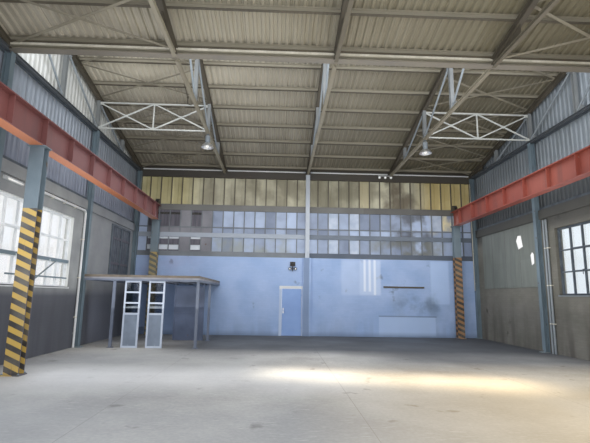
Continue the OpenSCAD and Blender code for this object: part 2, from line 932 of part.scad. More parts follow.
// Plates beside the posts of one truss, at the foot and the head of each diagonal
module gussets_2d() {
    half = truss_post_w / 2;
    difference() {
        for (i = [1 : 3]) {
            u = i * post_step;
            translate([u + half, lvl(tie_z + tie_h)])
                polygon([
                    [0, 0],
                    [gusset_l, 0],
                    [gusset_l, gusset_h / 2],
                    [gusset_l / 2, gusset_h],
                    [0, gusset_h]
                ]);
            if (i > 1)
                polygon([
                    [u - half, reach],
                    [u - half, roof_z(u) - rafter_v - gusset_h],
                    [u - half - gusset_l / 2, roof_z(u) - rafter_v - gusset_h],
                    [u - half - gusset_l, roof_z(u) - rafter_v - gusset_h / 2],
                    [u - half - gusset_l, reach]
                ]);
        }
        roof_strip_2d(-reach, reach, -rafter_v, reach);
    }
}

// I-section posts of the trusses with their plates
module truss_posts() {
    half = truss_post_w / 2;
    color("#c9ced2")
        for (x = frames_x)
            for (k = [0 : teeth - 1])
                union() {
                    across(x, k, truss_post_t)
                        union() {
                            posts_2d(-half, half);
                            gussets_2d();
                        }
                    for (a = [-half, half - truss_post_t])
                        across(x, k, truss_post_w)
                            posts_2d(a, a + truss_post_t);
                }
}

// A tube from p to q, both given as (distance from the low edge, height), in roof tooth k
module truss_tube(x, k, p, q) {
    translate([x, tooth_y(k) - p[0], p[1]])
        rotate([90 - atan2(q[1] - p[1], q[0] - p[0]), 0, 0])
            difference() {
                cylinder(d = truss_brace_d, h = norm(q - p), $fn = 32);
                translate([0, 0, -1])
                    cylinder(d = truss_brace_d - 2 * truss_brace_t, h = norm(q - p) + 2, $fn = 32);
            }
}

// Where the tubes of a truss may be: between tie and rafter, clear of the posts and the glazed face
module brace_room_2d() {
    difference() {
        translate([0, lvl(tie_z + tie_h)])
            square([rafter_end, reach]);
        posts_2d(-truss_post_w / 2, truss_post_w / 2);
        roof_strip_2d(-reach, reach, -rafter_v, reach);
    }
}

// Tubular diagonals, slotted over the posts' plates, from the foot of each post up to the next head
module truss_braces() {
    color("#b4b9bb")
        for (x = frames_x)
            for (k = [0 : teeth - 1])
                difference() {
                    intersection() {
                        across(x, k, 2 * truss_brace_d)
                            brace_room_2d();
                        for (i = [1 : 3])
                            truss_tube(x, k,
                                [i * post_step, lvl(tie_z + tie_h) + truss_brace_d / 2],
                                [min((i + 1) * post_step, rafter_end),
                                    roof_z((i + 1) * post_step) - rafter_v - truss_brace_d / 2]);
                    }
                    across(x, k, truss_post_t)
                        gussets_2d();
                }
}

// Channel purlins of one tooth, on the rafters, open towards the high side
module purlins(k) {
    for (i = [0 : floor((rafter_end - first_purlin) / purlin_pitch)]) {
        u = first_purlin + i * purlin_pitch;
        across(0, k, 2 * clad_x)
            difference() {
                roof_strip_2d(u, u + purlin_w, seat_gap, purlin_v);
                roof_strip_2d(u + purlin_t, u + 2 * purlin_w, seat_gap + purlin_t, purlin_v - purlin_t);
            }
    }
}

module purlins_far() {
    color("#4a473f")
        purlins(0);
}

module purlins_near() {
    color("#4a473f")
        purlins(1);
}

// Ribbed sheets of one tooth, from a to b
module roof_sheets(k, a, b) {
    width = 2 * (clad_out + verge_over);
    translate([-width / 2, tooth_y(k) - a, roof_z(a) + purlin_v + seat_gap])
        rotate([90 - tilt, 0, 0])
            linear_extrude((b - a) / cos(tilt))
                ribbed_2d(width, sheet_pitch, sheet_wave, sheet_t);
}

module roof_sheets_far() {
    color("#8f8875")
        roof_sheets(0, (sheet_wave + sheet_t) * sin(tilt) - wall_t - eaves_over, sheets_end);
}

module roof_sheets_near() {
    color("#8f8875")
        roof_sheets(1, valley_lap, sheets_end);
}

// Crossed bars between the outer rafters of each tooth
module wind_braces() {
    color("#3f3c35")
        for (side = [-1, 1])
            for (k = [0 : teeth - 1])
                intersection() {
                    across(side * (half_w - bay_w / 2), k, bay_w - rafter_w)
                        roof_strip_2d(truss_start(k), rafter_end, -wind_brace_t, 0);
                    for (i = [0 : wind_panels - 1])
                        for (turn = [-1, 1])
                            translate([side * (half_w - bay_w / 2), tooth_y(k) - (i + 0.5) * wind_step, 0])
                                rotate([0, 0, turn * atan(wind_step / bay_w)])
                                    translate([-bay_w, -wind_brace_w / 2, 0])
                                        cube([2 * bay_w, wind_brace_w, roof_z(tooth_d)]);
                }
}

// I-section beams under the glazed faces: in the valley and over the front wall
module valley_beams() {
    color("#4a473f")
        for (k = [1 : teeth])
            run_x(-wall_in, wall_in, tooth_y(k) + (valley_y0 + light_y1) / 2, lvl(valley_z))
                i_section_2d(light_y1 - valley_y0, valley_h, flange_t, web_t);
}

// Trough on the valley beam
module valley_gutter() {
    color("#b5b3a8")
        difference() {
            block([-wall_in, valley_y0, lvl(valley_z + valley_h)],
                [wall_in, -valley_y0, lvl(valley_z + valley_h + gutter_h)]);
            block([-wall_in + gutter_t, valley_y0 + gutter_t, lvl(valley_z + valley_h) + gutter_t],
                [wall_in - gutter_t, -valley_y0 - gutter_t, lvl(valley_z + valley_h + gutter_h) + 1]);
        }
}

light_step = bay_w / lights_per_bay;
light_low = lvl(valley_z + valley_h);
light_high = roof_z(rafter_end) - rafter_v;

// Glazing bars and head beam of the glazed roof faces
module north_light_frames() {
    color("#59626a")
        for (k = [1 : teeth])
            translate([0, tooth_y(k), 0]) {
                block([-wall_in, light_y0, light_high], [wall_in, light_y1, light_high + head_h]);
                for (i = [0 : bays * lights_per_bay])
                    block([-half_w + i * light_step - light_bar_w / 2, light_y0, light_low],
                        [-half_w + i * light_step + light_bar_w / 2, light_y1, light_high + 1]);
                translate([0, light_y1, 0])
                    rotate([90, 0, 0])
                        linear_extrude(light_brace_t)
                            light_braces_2d();
            }
}

// Diagonals that make the glazed face a girder: rising towards the middle of the hall
module light_braces_2d() {
    for (side = [-1, 1])
        for (i = [0 : bays * lights_per_bay / 2 - 1])
            bar_2d([side * (half_w - i * light_step), light_low + light_bar_w / 2],
                [side * (half_w - (i + 1) * light_step), light_high], light_bar_w);
}

module north_light_glass() {
    color("#dfe8ea")
        for (k = [1 : teeth])
            for (i = [0 : bays * lights_per_bay - 1])
                translate([0, tooth_y(k) + light_y0 + light_rebate, 0])
                    block([-half_w + i * light_step + light_bar_w / 2, 0, light_low],
                        [-half_w + (i + 1) * light_step - light_bar_w / 2, glass_t, light_high]);
}

// A lattice girder of two crossed panels, w long and h high
module lattice_2d(w, h) {
    square([w, lattice_bar]);
    translate([0, h - lattice_bar])
        square([w, lattice_bar]);
    translate([(w - lattice_bar) / 2, 0])
        square([lattice_bar, h]);
    intersection() {
        square([w, h]);
        for (i = [0, 1]) {
            bar_2d([i * w / 2, lattice_bar / 2], [(i + 1) * w / 2, h - lattice_bar / 2], lattice_bar);
            bar_2d([i * w / 2, h - lattice_bar / 2], [(i + 1) * w / 2, lattice_bar / 2], lattice_bar);
        }
    }
}

// Plates at the joints of such a girder
module lattice_plates_2d(w, h) {
    for (i = [0 : 2])
        for (y = [0, h - lattice_plate_h])
            translate([i * (w - lattice_plate_l) / 2, y])
                square([lattice_plate_l, lattice_plate_h]);
    for (i = [1, 3])
        translate([i * w / 4 - lattice_plate_h / 2, (h - lattice_plate_h) / 2])
            square(lattice_plate_h);
}

// Lattice girders in the outer bays, on the ties and between the webs of the truss posts
module lattice_girders() {
    length = bay_w - truss_post_t;
    height = roof_z(2 * post_step) - rafter_v - lvl(tie_z + tie_h) - lattice_gap;
    color("#c9ced2")
        for (side = [-1, 1])
            for (k = [0 : teeth - 1]) {
                x = side * (half_w - bay_w / 2) - length / 2;
                y = tooth_y(k) - 2 * post_step;
                union() {
                    run_y(y - lattice_bar / 2, y + lattice_bar / 2, x, lvl(tie_z + tie_h))
                        lattice_2d(length, height);
                    run_y(y - lattice_plate_t / 2, y + lattice_plate_t / 2, x, lvl(tie_z + tie_h))
                        lattice_plates_2d(length, height);
                }
            }
}

crane_columns_y = [half_d - crane_end, 0, -half_d + crane_end];

// I-section columns under the crane girders, with foot plates and cap plates
module crane_columns() {
    plate = [crane_column_w / 2 + foot_over, crane_column_d / 2 + foot_over];
    color("#7d8f92")
        for (side = [-1, 1])
            for (y = crane_columns_y)
                translate([side * crane_x, y, floor_t])
                    union() {
                        translate([0, -crane_column_d / 2, 0])
                            linear_extrude(crane_z)
                                i_section_2d(crane_column_w, crane_column_d, crane_column_t, crane_column_t);
                        for (z = [0, crane_z - foot_t])
                            block([-plate[0], -plate[1], z], [plate[0], plate[1], z + foot_t]);
                    }
}

// I-section girder with web stiffeners and its rail, along one side of the hall
module crane_girder(side) {
    half_l = half_d - crane_gap;
    rib_x = crane_flange_w / 2 - stiffener_in;
    color("#a8443a")
        union() {
            run_y(-half_l, half_l, side * crane_x, lvl(crane_z)) {
                i_section_2d(crane_flange_w, crane_h, crane_flange_t, crane_web_t);
                translate([-rail_w / 2, crane_h - crane_flange_t])
                    square([rail_w, rail_h + crane_flange_t]);
            }
            for (i = [-floor(half_l / stiffener_pitch) : floor(half_l / stiffener_pitch)])
                translate([side * crane_x, i * stiffener_pitch, lvl(crane_z)])
                    block([-rib_x, -stiffener_t / 2, crane_flange_t / 2],
                        [rib_x, stiffener_t / 2, crane_h - crane_flange_t / 2]);
        }
}

module crane_girder_left() {
    crane_girder(-1);
}

module crane_girder_right() {
    crane_girder(1);
}

deck_x0 = -half_w + column_w / 2;
deck_x1 = deck_x0 + deck_w;
deck_y0 = half_d - deck_d;
screens_x = [deck_x0 + screen_in, deck_x0 + screen_in + screen_pitch];
deck_beams_y = [deck_y0, deck_y0 + deck_d / 2];
screen_pane = (deck_z - deck_t - screen_low - 3 * screen_rim) / 3;

// A hollow post of the platform, closed by the beam that it carries
module deck_post() {
    difference() {
        cube([deck_post_w, deck_post_w, deck_z - deck_t]);
        translate([deck_steel_t, deck_steel_t, -1])
            cube([deck_post_w - 2 * deck_steel_t, deck_post_w - 2 * deck_steel_t, deck_z - deck_t + 1]);
    }
}

// Steel frame and planked deck of the platform in the far left corner
module store_platform() {
    low = lvl(deck_z - deck_t);
    color("#6d7276")
        union() {
            difference() {
                union() {
                    block([deck_x0, deck_y0, lvl(deck_z - plank_t)], [deck_x1, half_d, lvl(deck_z)]);
                    run_x(deck_x0, deck_x1, deck_y0, low)
                        channel_2d(deck_flange_w, deck_t, deck_steel_t);
                    run_y(deck_y0, half_d, deck_x1, low)
                        mirror([1, 0])
                            channel_2d(deck_flange_w, deck_t, deck_steel_t);
                    run_x(deck_x0, deck_x1, deck_beams_y[1] + deck_post_w / 2, low)
                        i_section_2d(deck_flange_w, deck_t - plank_t / 2, deck_steel_t, deck_steel_t);
                    for (x = [deck_x0 + deck_flange_w : joist_pitch : deck_x1 - deck_flange_w])
                        run_y(deck_y0 + deck_steel_t / 2, half_d, x, low)
                            i_section_2d(deck_flange_w, deck_t - plank_t / 2, deck_steel_t, deck_steel_t);
                }
                translate([-crane_x, half_d - crane_end, low - 1])
                    block([-crane_column_w / 2 - deck_gap, -crane_column_d / 2 - deck_gap, 0],
                        [crane_column_w / 2 + deck_gap, crane_column_d / 2 + deck_gap, deck_t + 2]);
            }
            for (x = [deck_x0 + deck_post_in, deck_x1 - deck_post_w])
                for (y = deck_beams_y)
                    translate([x, y, floor_t])
                        deck_post();
        }
}

// Two tall screens under the platform's edge, glazed above and boarded below
module store_screens() {
    color("#dfe5ea")
        for (x = screens_x)
            translate([x, deck_y0 + screen_t, floor_t])
                difference() {
                    cube([screen_w, screen_t, deck_z - deck_t]);
                    for (i = [0 : 2])
                        translate([screen_rim, -1, screen_low + i * (screen_pane + screen_rim)])
                            cube([screen_w - 2 * screen_rim, screen_t + 2, screen_pane]);
                }
}

// Bell-shaped lamps under the ties of the second and fourth trusses
module lamps() {
    color("#c2c7ca")
        for (i = [1, bays - 1])
            for (k = [0 : teeth - 1])
                translate([frames_x[i], tooth_y(k) - 2 * post_step, lvl(tie_z) - lamp_drop - lamp_can_h]) {
                    cylinder(r = lamp_stem_r, h = lamp_can_h + lamp_drop, $fn = 24);
                    cylinder(r = lamp_can_r, h = lamp_can_h, $fn = 48);
                    rotate_extrude($fn = 64)
                        polygon([
                            [0, lamp_t],
                            [0, -lamp_t],
                            [lamp_can_r - lamp_t, -lamp_t],
                            [lamp_shoulder_r - lamp_t, -lamp_shoulder_h - lamp_t],
                            [lamp_r - lamp_t, -lamp_dome_h],
                            [lamp_r, -lamp_dome_h],
                            [lamp_shoulder_r, -lamp_shoulder_h],
                            [lamp_can_r, lamp_t]
                        ]);
                }
}

// A pipe of length l along +Y or up +Z, beside a wall face at x = 0, with two lugs to the face
module wall_pipe(r, l, upright) {
    gap = r + pipe_off;
    rotate([upright ? 0 : -90, 0, 0]) {
        translate([gap, 0, 0])
            cylinder(r = r, h = l, $fn = 24);
        for (z = [l * 0.1, l * 0.9])
            translate([0, -r / 2, z])
                cube([gap, r, r]);
    }
}

// Quarter bend from upright to along -Y, beside a wall face at x = 0
module pipe_bend(r) {
    translate([r + pipe_off, -bend_r, 0])
        rotate([90, 0, 90])
            intersection() {
                rotate_extrude($fn = 48)
                    translate([bend_r, 0])
                        circle(r = r, $fn = 24);
                translate([0, 0, -2 * r])
                    cube([bend_r + 2 * r, bend_r + 2 * r, 4 * r]);
            }
}

// Lighting tubes under the far eaves and conduits on the side walls
module service_pipes() {
    riser_y = half_d - side_bay - column_w;
    color("#dfe3e4") {
        for (i = [0 : bays - 1])
            translate([frames_x[i] + tube_in, half_d, lvl(tie_z + tie_h + tube_r)])
                rotate([0, 0, -90])
                    wall_pipe(tube_r, bay_w - 2 * tube_in, false);
        union() {
            translate([-wall_in, riser_y - conduit_l, lvl(conduit_z)])
                wall_pipe(conduit_r, conduit_l - bend_r, false);
            translate([-wall_in, riser_y, lvl(conduit_z - bend_r)])
                pipe_bend(conduit_r);
            translate([-wall_in, riser_y, floor_t])
                wall_pipe(conduit_r, conduit_z - bend_r, true);
        }
        for (i = [1, 2])
            translate([wall_in, riser_y - i * 4 * conduit_r, floor_t])
                mirror([1, 0, 0])
                    wall_pipe(conduit_r, conduit_z, true);
    }
}

floor_slab();
far_wall_left();
far_wall_right();
far_wall_lintel();
door_frame();
door_leaf();
far_window_frame();
far_window_glass();
far_light_band();
far_eaves_beam();
front_wall_left();
front_wall_right();
front_window_frame();
front_window_glass();
front_light_band();
left_wall();
right_wall();
side_window_frames();
side_window_glass();
left_cladding();
right_cladding();
side_girts();
right_sheet_panel();
left_boarded_window();
wall_columns();
centre_posts();
rafters();
truss_ties();
truss_posts();
truss_braces();
purlins_far();
purlins_near();
roof_sheets_far();
roof_sheets_near();
wind_braces();
valley_beams();
valley_gutter();
north_light_frames();
north_light_glass();
lattice_girders();
crane_columns();
crane_girder_left();
crane_girder_right();
store_platform();
store_screens();
lamps();
service_pipes();
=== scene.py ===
# %% [markdown]
# # A sawtooth-roof factory hall, dressed in Blender
#
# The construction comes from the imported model: every wall, column, truss and sheet is already
# there at its real size, in metres, with +Y running down the hall to the wall with the door.
# This lesson gives each of them its surface, adds the thin things that a builder would add
# last, and stands a camera where a person would stand, just inside the gateway.

# %% Load the frame
import bpy
import bmesh
import json
import math
from mathutils import Matrix, Quaternion, Vector


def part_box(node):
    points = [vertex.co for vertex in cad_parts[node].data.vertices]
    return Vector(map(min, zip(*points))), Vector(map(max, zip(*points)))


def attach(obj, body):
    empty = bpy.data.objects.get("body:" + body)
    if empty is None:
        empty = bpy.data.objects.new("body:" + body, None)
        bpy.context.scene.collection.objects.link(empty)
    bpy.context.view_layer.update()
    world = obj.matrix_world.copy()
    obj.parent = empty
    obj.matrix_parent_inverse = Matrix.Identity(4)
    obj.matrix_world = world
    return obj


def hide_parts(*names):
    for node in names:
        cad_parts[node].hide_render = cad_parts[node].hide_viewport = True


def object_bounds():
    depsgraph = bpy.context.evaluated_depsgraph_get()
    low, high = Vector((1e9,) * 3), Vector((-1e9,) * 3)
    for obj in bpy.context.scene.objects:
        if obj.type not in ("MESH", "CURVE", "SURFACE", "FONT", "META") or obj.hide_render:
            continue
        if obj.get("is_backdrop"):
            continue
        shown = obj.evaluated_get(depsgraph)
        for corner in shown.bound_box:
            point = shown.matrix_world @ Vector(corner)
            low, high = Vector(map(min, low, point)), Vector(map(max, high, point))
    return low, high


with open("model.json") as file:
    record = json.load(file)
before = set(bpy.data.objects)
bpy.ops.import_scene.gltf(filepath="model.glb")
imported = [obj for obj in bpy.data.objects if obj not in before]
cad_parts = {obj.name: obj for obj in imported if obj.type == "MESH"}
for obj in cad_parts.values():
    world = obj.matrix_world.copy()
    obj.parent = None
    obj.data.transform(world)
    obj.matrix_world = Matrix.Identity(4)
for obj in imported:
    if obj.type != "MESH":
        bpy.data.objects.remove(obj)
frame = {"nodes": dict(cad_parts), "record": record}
cad_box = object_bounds()
nodes = frame["nodes"]
scene = bpy.context.scene
print("cad nodes:", len(nodes), "box:", [tuple(round(c, 3) for c in corner) for corner in cad_box])

# %% [markdown]
# ## Where things are
#
# Nothing is placed by eye. The hall's own numbers are read from the boxes of its parts: the
# floor's top, the inner faces of the walls, and the bay that every repeated thing follows.
# Only the roof's slope and the seat of its rafters have to be said, because a box has no slope.
# Heights are counted from the floor, as on a building site.

# %% Read the hall's own numbers
FLOOR_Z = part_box("floor_slab")[1].z
WALL_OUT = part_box("right_wall")[1].x
WALL_THICK, COLUMN_HALF = 0.25, 0.08
WALL_X = WALL_OUT - WALL_THICK
WALL_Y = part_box("far_wall_left")[0].y
WALL_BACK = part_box("far_wall_left")[1].y
BAY = (WALL_X - COLUMN_HALF) / 2
TOOTH = WALL_Y
SIDE_BAY = TOOTH / 2
PANEL = BAY / 8
FRAMES = [BAY * i for i in (-2, -1, 0, 1, 2)]
RAFTER_TOP, RAFTER_DEEP, SLOPE = 7.21, 0.1634, 0.207
TIE_TOP = 7.08
PURLINS = [0.064 + 1.073 * i for i in range(9)]
POSTS = [TOOTH * i / 4 for i in (1, 2, 3)]
CRANE_X = 6.5
print("inside", round(2 * WALL_X, 3), "by", round(2 * WALL_Y, 3), "m, bay", round(BAY, 3))


def above_floor(height):
    """The z of a point that is height metres over the hall's floor."""
    return FLOOR_Z + height


def on_roof(x, tooth, run, lift=0.0):
    """A point run metres up the slope of a tooth (0 far, 1 near), lift over the rafters' top."""
    return Vector((x, WALL_Y - tooth * TOOTH - run, RAFTER_TOP + SLOPE * run + lift))


# %% [markdown]
# ## Camera
#
# The picture was taken with an ordinary wide lens at eye height, a little left of the middle,
# with its back to the gateway. The horizon drops by about a degree to the right, so the camera
# is rolled by that much. A place, a lens and three angles say all of it, and no shift is needed.

# %% Set up the camera
EYE_HEIGHT, CAMERA_X, CAMERA_FROM_WALL = 1.65, -1.225, 19.10
LENS_MM, SENSOR_MM = 26.9, 36.0
YAW, PITCH, ROLL = math.radians(-2.03), math.radians(9.62), math.radians(0.91)

camera_data = bpy.data.cameras.new("eye")
camera_data.lens = LENS_MM
camera_data.sensor_width = SENSOR_MM
camera_data.clip_start = 0.02
camera_data.clip_end = 200
camera = bpy.data.objects.new("eye", camera_data)
scene.collection.objects.link(camera)
stand = Matrix.Translation((CAMERA_X, WALL_Y - CAMERA_FROM_WALL, above_floor(EYE_HEIGHT)))
level_look = Matrix.Rotation(YAW, 4, "Z") @ Matrix.Rotation(math.pi / 2 + PITCH, 4, "X")
camera.matrix_world = stand @ level_look @ Matrix.Rotation(ROLL, 4, "Z")
scene.camera = camera
scene.view_settings.view_transform = "Standard"
print("camera at", [round(c, 3) for c in camera.matrix_world.translation])

# %% [markdown]
# ## Colour and nodes
#
# Hex colours are written for a screen, and Blender mixes light in linear values, so one
# function converts them. A second one adds a node with its settings and its links. The kinds
# of node that come again and again get a short name, which holds the kind and its settings.

# %% Colours and nodes
MIX = ("ShaderNodeMix", {"data_type": "RGBA"})
TINT = ("ShaderNodeMix", {"data_type": "RGBA", "blend_type": "MULTIPLY"})
RANGE, NOISE, SPLIT, JOIN, STRETCH, BUMP, PLACE, NORMAL = (
    ("ShaderNode" + kind,)
    for kind in ("MapRange", "TexNoise", "SeparateXYZ", "CombineXYZ", "Mapping", "Bump", "TexCoord", "NewGeometry")
)
ADD, SUBTRACT, MULTIPLY, DIVIDE, MULTIPLY_ADD, WRAP, ABSOLUTE, MAXIMUM, FLOOR, FRACT, SIGN, GREATER, LESS = (
    ("ShaderNodeMath", {"operation": operation})
    for operation in ("ADD", "SUBTRACT", "MULTIPLY", "DIVIDE", "MULTIPLY_ADD", "WRAP", "ABSOLUTE",
                      "MAXIMUM", "FLOOR", "FRACT", "SIGN", "GREATER_THAN", "LESS_THAN")
)
CLAMPED_ADD = ("ShaderNodeMath", {"operation": "ADD", "use_clamp": True})
CLAMPED_MULTIPLY_ADD = ("ShaderNodeMath", {"operation": "MULTIPLY_ADD", "use_clamp": True})
SCALE = ("ShaderNodeVectorMath", {"operation": "SCALE"})


def hex_color(code):
    """A screen colour such as #a8a59c as Blender's linear RGBA."""
    channels = [int(code[i : i + 2], 16) / 255 for i in (1, 3, 5)]
    linear = [c / 12.92 if c <= 0.04045 else ((c + 0.055) / 1.055) ** 2.4 for c in channels]
    return (*linear, 1.0)


def connect(node, **sockets):
    """Sets sockets to a value or a hex colour, or links them to a node or one of its outputs.

    A socket goes by its name, such as Base_Color, or by its number, such as _0. The colours
    of a mix are its sockets 6 and 7, and its result, which a plain node stands for, is 2.
    """
    for name, value in sockets.items():
        socket = node.inputs[int(name[1:]) if name[0] == "_" else name.replace("_", " ")]
        if isinstance(value, bpy.types.Node):
            value = value.outputs[2 if value.bl_idname == "ShaderNodeMix" else 0]
        if isinstance(value, bpy.types.NodeSocket):
            node.id_data.links.new(value, socket)
        else:
            socket.default_value = hex_color(value) if isinstance(value, str) else value


def add_node(tree, kind, settings=None, **sockets):
    """Adds a node with its own settings, and with what its sockets hold or are linked to."""
    node = tree.nodes.new(kind)
    for name, value in (settings or {}).items():
        setattr(node, name, value)
    connect(node, **sockets)
    return node


print("mid grey on the screen is", [round(c, 3) for c in hex_color("#808080")], "in linear light")

# %% [markdown]
# ## What every old surface needs
#
# Dirt, damp and worn paint gather in clouds with a soft or a hard edge, so one function makes
# cloudy patches of a real size: noise with a threshold. Others squeeze a pattern so that it
# runs down like rain, and ask where a face looks. A finish is filed under the slot that it
# belongs to, and the simplest ones only drift between two tones.

# %% Patches, directions and new finishes


def patches(tree, place, size_mm, start, full, detail=4.0):
    """A mask of cloudy patches about size_mm across, 0 under start and 1 over full."""
    cloud = add_node(tree, *NOISE, Vector=place, Scale=1000 / size_mm, Detail=detail)
    return add_node(tree, *RANGE, Value=cloud, From_Min=start, From_Max=full)


def down_the_wall(tree, place, share=0.15):
    """The place squeezed in height, so that a pattern on it runs down like rain."""
    return add_node(tree, *STRETCH, Vector=place, Scale=(1, 1, share))


def facing(tree):
    """The three parts of the direction in which a face looks."""
    return add_node(tree, *SPLIT, Vector=add_node(tree, *NORMAL).outputs["Normal"]).outputs


finishes = {}


def new_finish(slot, name, color, roughness, metallic=0.0):
    """Files a material under its slot. Uniform values are set on its shader's own sockets."""
    finishes[slot] = material = bpy.data.materials.new(name)
    material.use_nodes = True
    tree = material.node_tree
    shader = tree.nodes["Principled BSDF"]
    connect(shader, Base_Color=color, Roughness=roughness, Metallic=metallic)
    return tree, shader, add_node(tree, *PLACE).outputs["Object"]


def two_tone(slot, name, tones, patch, roughness, stretch=None, **sockets):
    """A finish that drifts between two tones; patch is the size in mm, the start and the full."""
    tree, shader, place = new_finish(slot, name, tones[0], roughness)
    grain = add_node(tree, *STRETCH, Vector=place, Scale=stretch) if stretch else place
    tone = add_node(tree, *MIX, _0=patches(tree, grain, *patch), _6=tones[0], _7=tones[1])
    connect(shader, Base_Color=tone, **sockets)
    return tree, shader, place, tone


print("finishes filed:", len(finishes))


# %% [markdown]
# ## A second coat in one place
#
# An old hall is never one colour all over. A wall is darker at foot height, a beam was sprayed
# only from below, and one pane is cleaner than the next. Rather than a new material for every
# such place, a second tone is laid over a finish between two limits, measured along the hall,
# over the rafters, or by how far a face looks up or right. Each such place is then one line.
# The same second tone also lays painted light and painted shade where a place is lit or shaded.

# %% A tone between limits
FAR_OFF, HARD_EDGE = 99, 0.04


def over_rafters(tree, xyz):
    """How high each point of the roof lies over the top of the rafters."""
    run = add_node(tree, *WRAP, _0=xyz["Y"], _1=WALL_Y, _2=WALL_Y - TOOTH)
    line = add_node(tree, *MULTIPLY_ADD, _0=run, _1=SLOPE, _2=-above_floor(RAFTER_TOP) - SLOPE * WALL_Y)
    return add_node(tree, *ADD, _0=xyz["Z"], _1=line)


def paint_over(slot, color, share, soft=0.05, cloud_mm=0, **limits):
    """Lays a share of another tone over a finish, between limits along X, Y, Z, roof, up or right."""
    tree = finishes[slot].node_tree
    shader = tree.nodes["Principled BSDF"]
    under = shader.inputs["Base Color"].links[0].from_socket
    place = add_node(tree, *PLACE).outputs["Object"]
    xyz = add_node(tree, *SPLIT, Vector=place).outputs
    mask = patches(tree, place, cloud_mm, 0.40, 0.60) if cloud_mm else 1.0
    for axis, (low, high) in limits.items():
        value, blur = xyz[axis] if axis in xyz else None, soft
        if axis == "Z":
            low, high = above_floor(low), above_floor(high)
        elif axis == "roof":
            value, blur = over_rafters(tree, xyz), min(soft, HARD_EDGE)
        elif axis in ("up", "right"):
            value, blur = facing(tree)["Z" if axis == "up" else "X"], min(soft, HARD_EDGE)
        off = add_node(tree, *ABSOLUTE, _0=add_node(tree, *SUBTRACT, _0=value, _1=(low + high) / 2))
        edge = add_node(tree, *RANGE, Value=off, From_Min=(high - low + blur) / 2, From_Max=(high - low - blur) / 2)
        mask = add_node(tree, *MULTIPLY, _0=edge, _1=mask)
    mask = add_node(tree, *MULTIPLY, _0=mask, _1=share)
    connect(shader, Base_Color=add_node(tree, *MIX, _0=mask, _6=under, _7=color))


print("a coat on the roof or by direction blurs over", HARD_EDGE, "at most")

# %% [markdown]
# ## Studio: world, floor and daylight
#
# The hall is lit from above by its roof glazing and from the sides by its windows. Soft area
# lights stand in each tooth's glazing, hang under the trusses, where its light comes down, and
# stand at the windows and the gateway. Two more lie low and shine up, as a pale floor does, or
# the roof would be black. A narrow warm one draws the streak of sun across the floor, and a
# faint one lights the space under the platform. They are hidden from the camera. The world is
# white where it is seen and a little weaker where it lights, and a pale floor lies round the
# building and takes its shadow.

# %% World
WHITE = (1, 1, 1, 1)
world = bpy.data.worlds.new("studio")
scene.world = world
world.use_nodes = True
sky = world.node_tree
sky.nodes.clear()
ray = add_node(sky, "ShaderNodeLightPath").outputs
seen = add_node(sky, *MAXIMUM, _0=ray["Is Camera Ray"], _1=ray["Is Glossy Ray"])
seen = add_node(sky, *MAXIMUM, _0=seen, _1=ray["Is Transmission Ray"])
lighting = add_node(sky, "ShaderNodeBackground", Color=WHITE, Strength=0.8)
backdrop = add_node(sky, "ShaderNodeBackground", Color=WHITE, Strength=1.0)
both = add_node(sky, "ShaderNodeMixShader", _0=seen, _1=lighting, _2=backdrop)
add_node(sky, "ShaderNodeOutputWorld", Surface=both)
print("world:", len(sky.nodes), "nodes")


# %% Area lights at the openings
def daylight(name, place, size, power, aim, color="#ffffff", spread=180):
    """A soft light, size wide and high, shining from place towards aim, heights over the floor."""
    light = bpy.data.lights.new(name, "AREA")
    light.shape = "RECTANGLE"
    light.size, light.size_y = size
    light.energy = power
    light.color = hex_color(color)[:3]
    light.spread = math.radians(spread)
    lamp = bpy.data.objects.new(name, light)
    scene.collection.objects.link(lamp)
    lamp.location = (place[0], place[1], above_floor(place[2]))
    lamp.rotation_mode = "QUATERNION"
    lamp.rotation_quaternion = (Vector(aim) - Vector(place)).to_track_quat("-Z", "Y")
    lamp.visible_camera = False
    return lamp


for tooth in (0, 1):
    middle_y = WALL_Y - (tooth + 0.5) * TOOTH
    bounce_y = middle_y - 1.0
    face_y = WALL_Y - (tooth + 1) * TOOTH + 0.30
    daylight(f"north_glazing_{tooth}", (0, face_y, 8.0), (14.4, 1.3), 280, (0, face_y + 8, 5.6), "#f8faff")
    daylight(f"roof_light_{tooth}", (0, middle_y, 6.4), (13, 6), 360, (0, middle_y, 0), "#f8faff")
    daylight(f"floor_bounce_{tooth}", (0, bounce_y, 1.2), (13, 7), 230 - 20 * tooth, (0, bounce_y, 9), "#fbf9f4")
for side in (-1, 1):
    for y in (2.15, -2.675, -7.5):
        daylight(f"side_window_{side}_{y}", (side * 7.3, y, 2.85), (3.6, 2.0), 75, (0, y, 2.0), "#f1f6ff")
daylight("gateway", (0, -WALL_Y + 0.1, 2.4), (5.4, 4.2), 330, (0, 0, 2.6))
daylight("far_windows", (0, WALL_Y - 0.25, 4.4), (14.4, 1.6), 60, (0, 0, 2.5), "#e8f0ff")
daylight("left_sky", (-9.6, 1.0, 3.3), (18, 5), 290, (0, 1.0, 2.0), spread=110)
daylight("under_the_deck", (-5.6, 5.6, 0.9), (3.2, 1.2), 12, (-5.6, 9.6, 1.1), "#e4ecff")
SUN_TURN = math.radians(-14)
sun = daylight("sun_on_the_floor", (1.25, 0.05, 2.2), (5.4, 1.3), 40, (1.25, 0.05, 0), "#fff0d4", spread=50)
sun.rotation_quaternion = Quaternion((0, 0, 1), SUN_TURN) @ sun.rotation_quaternion

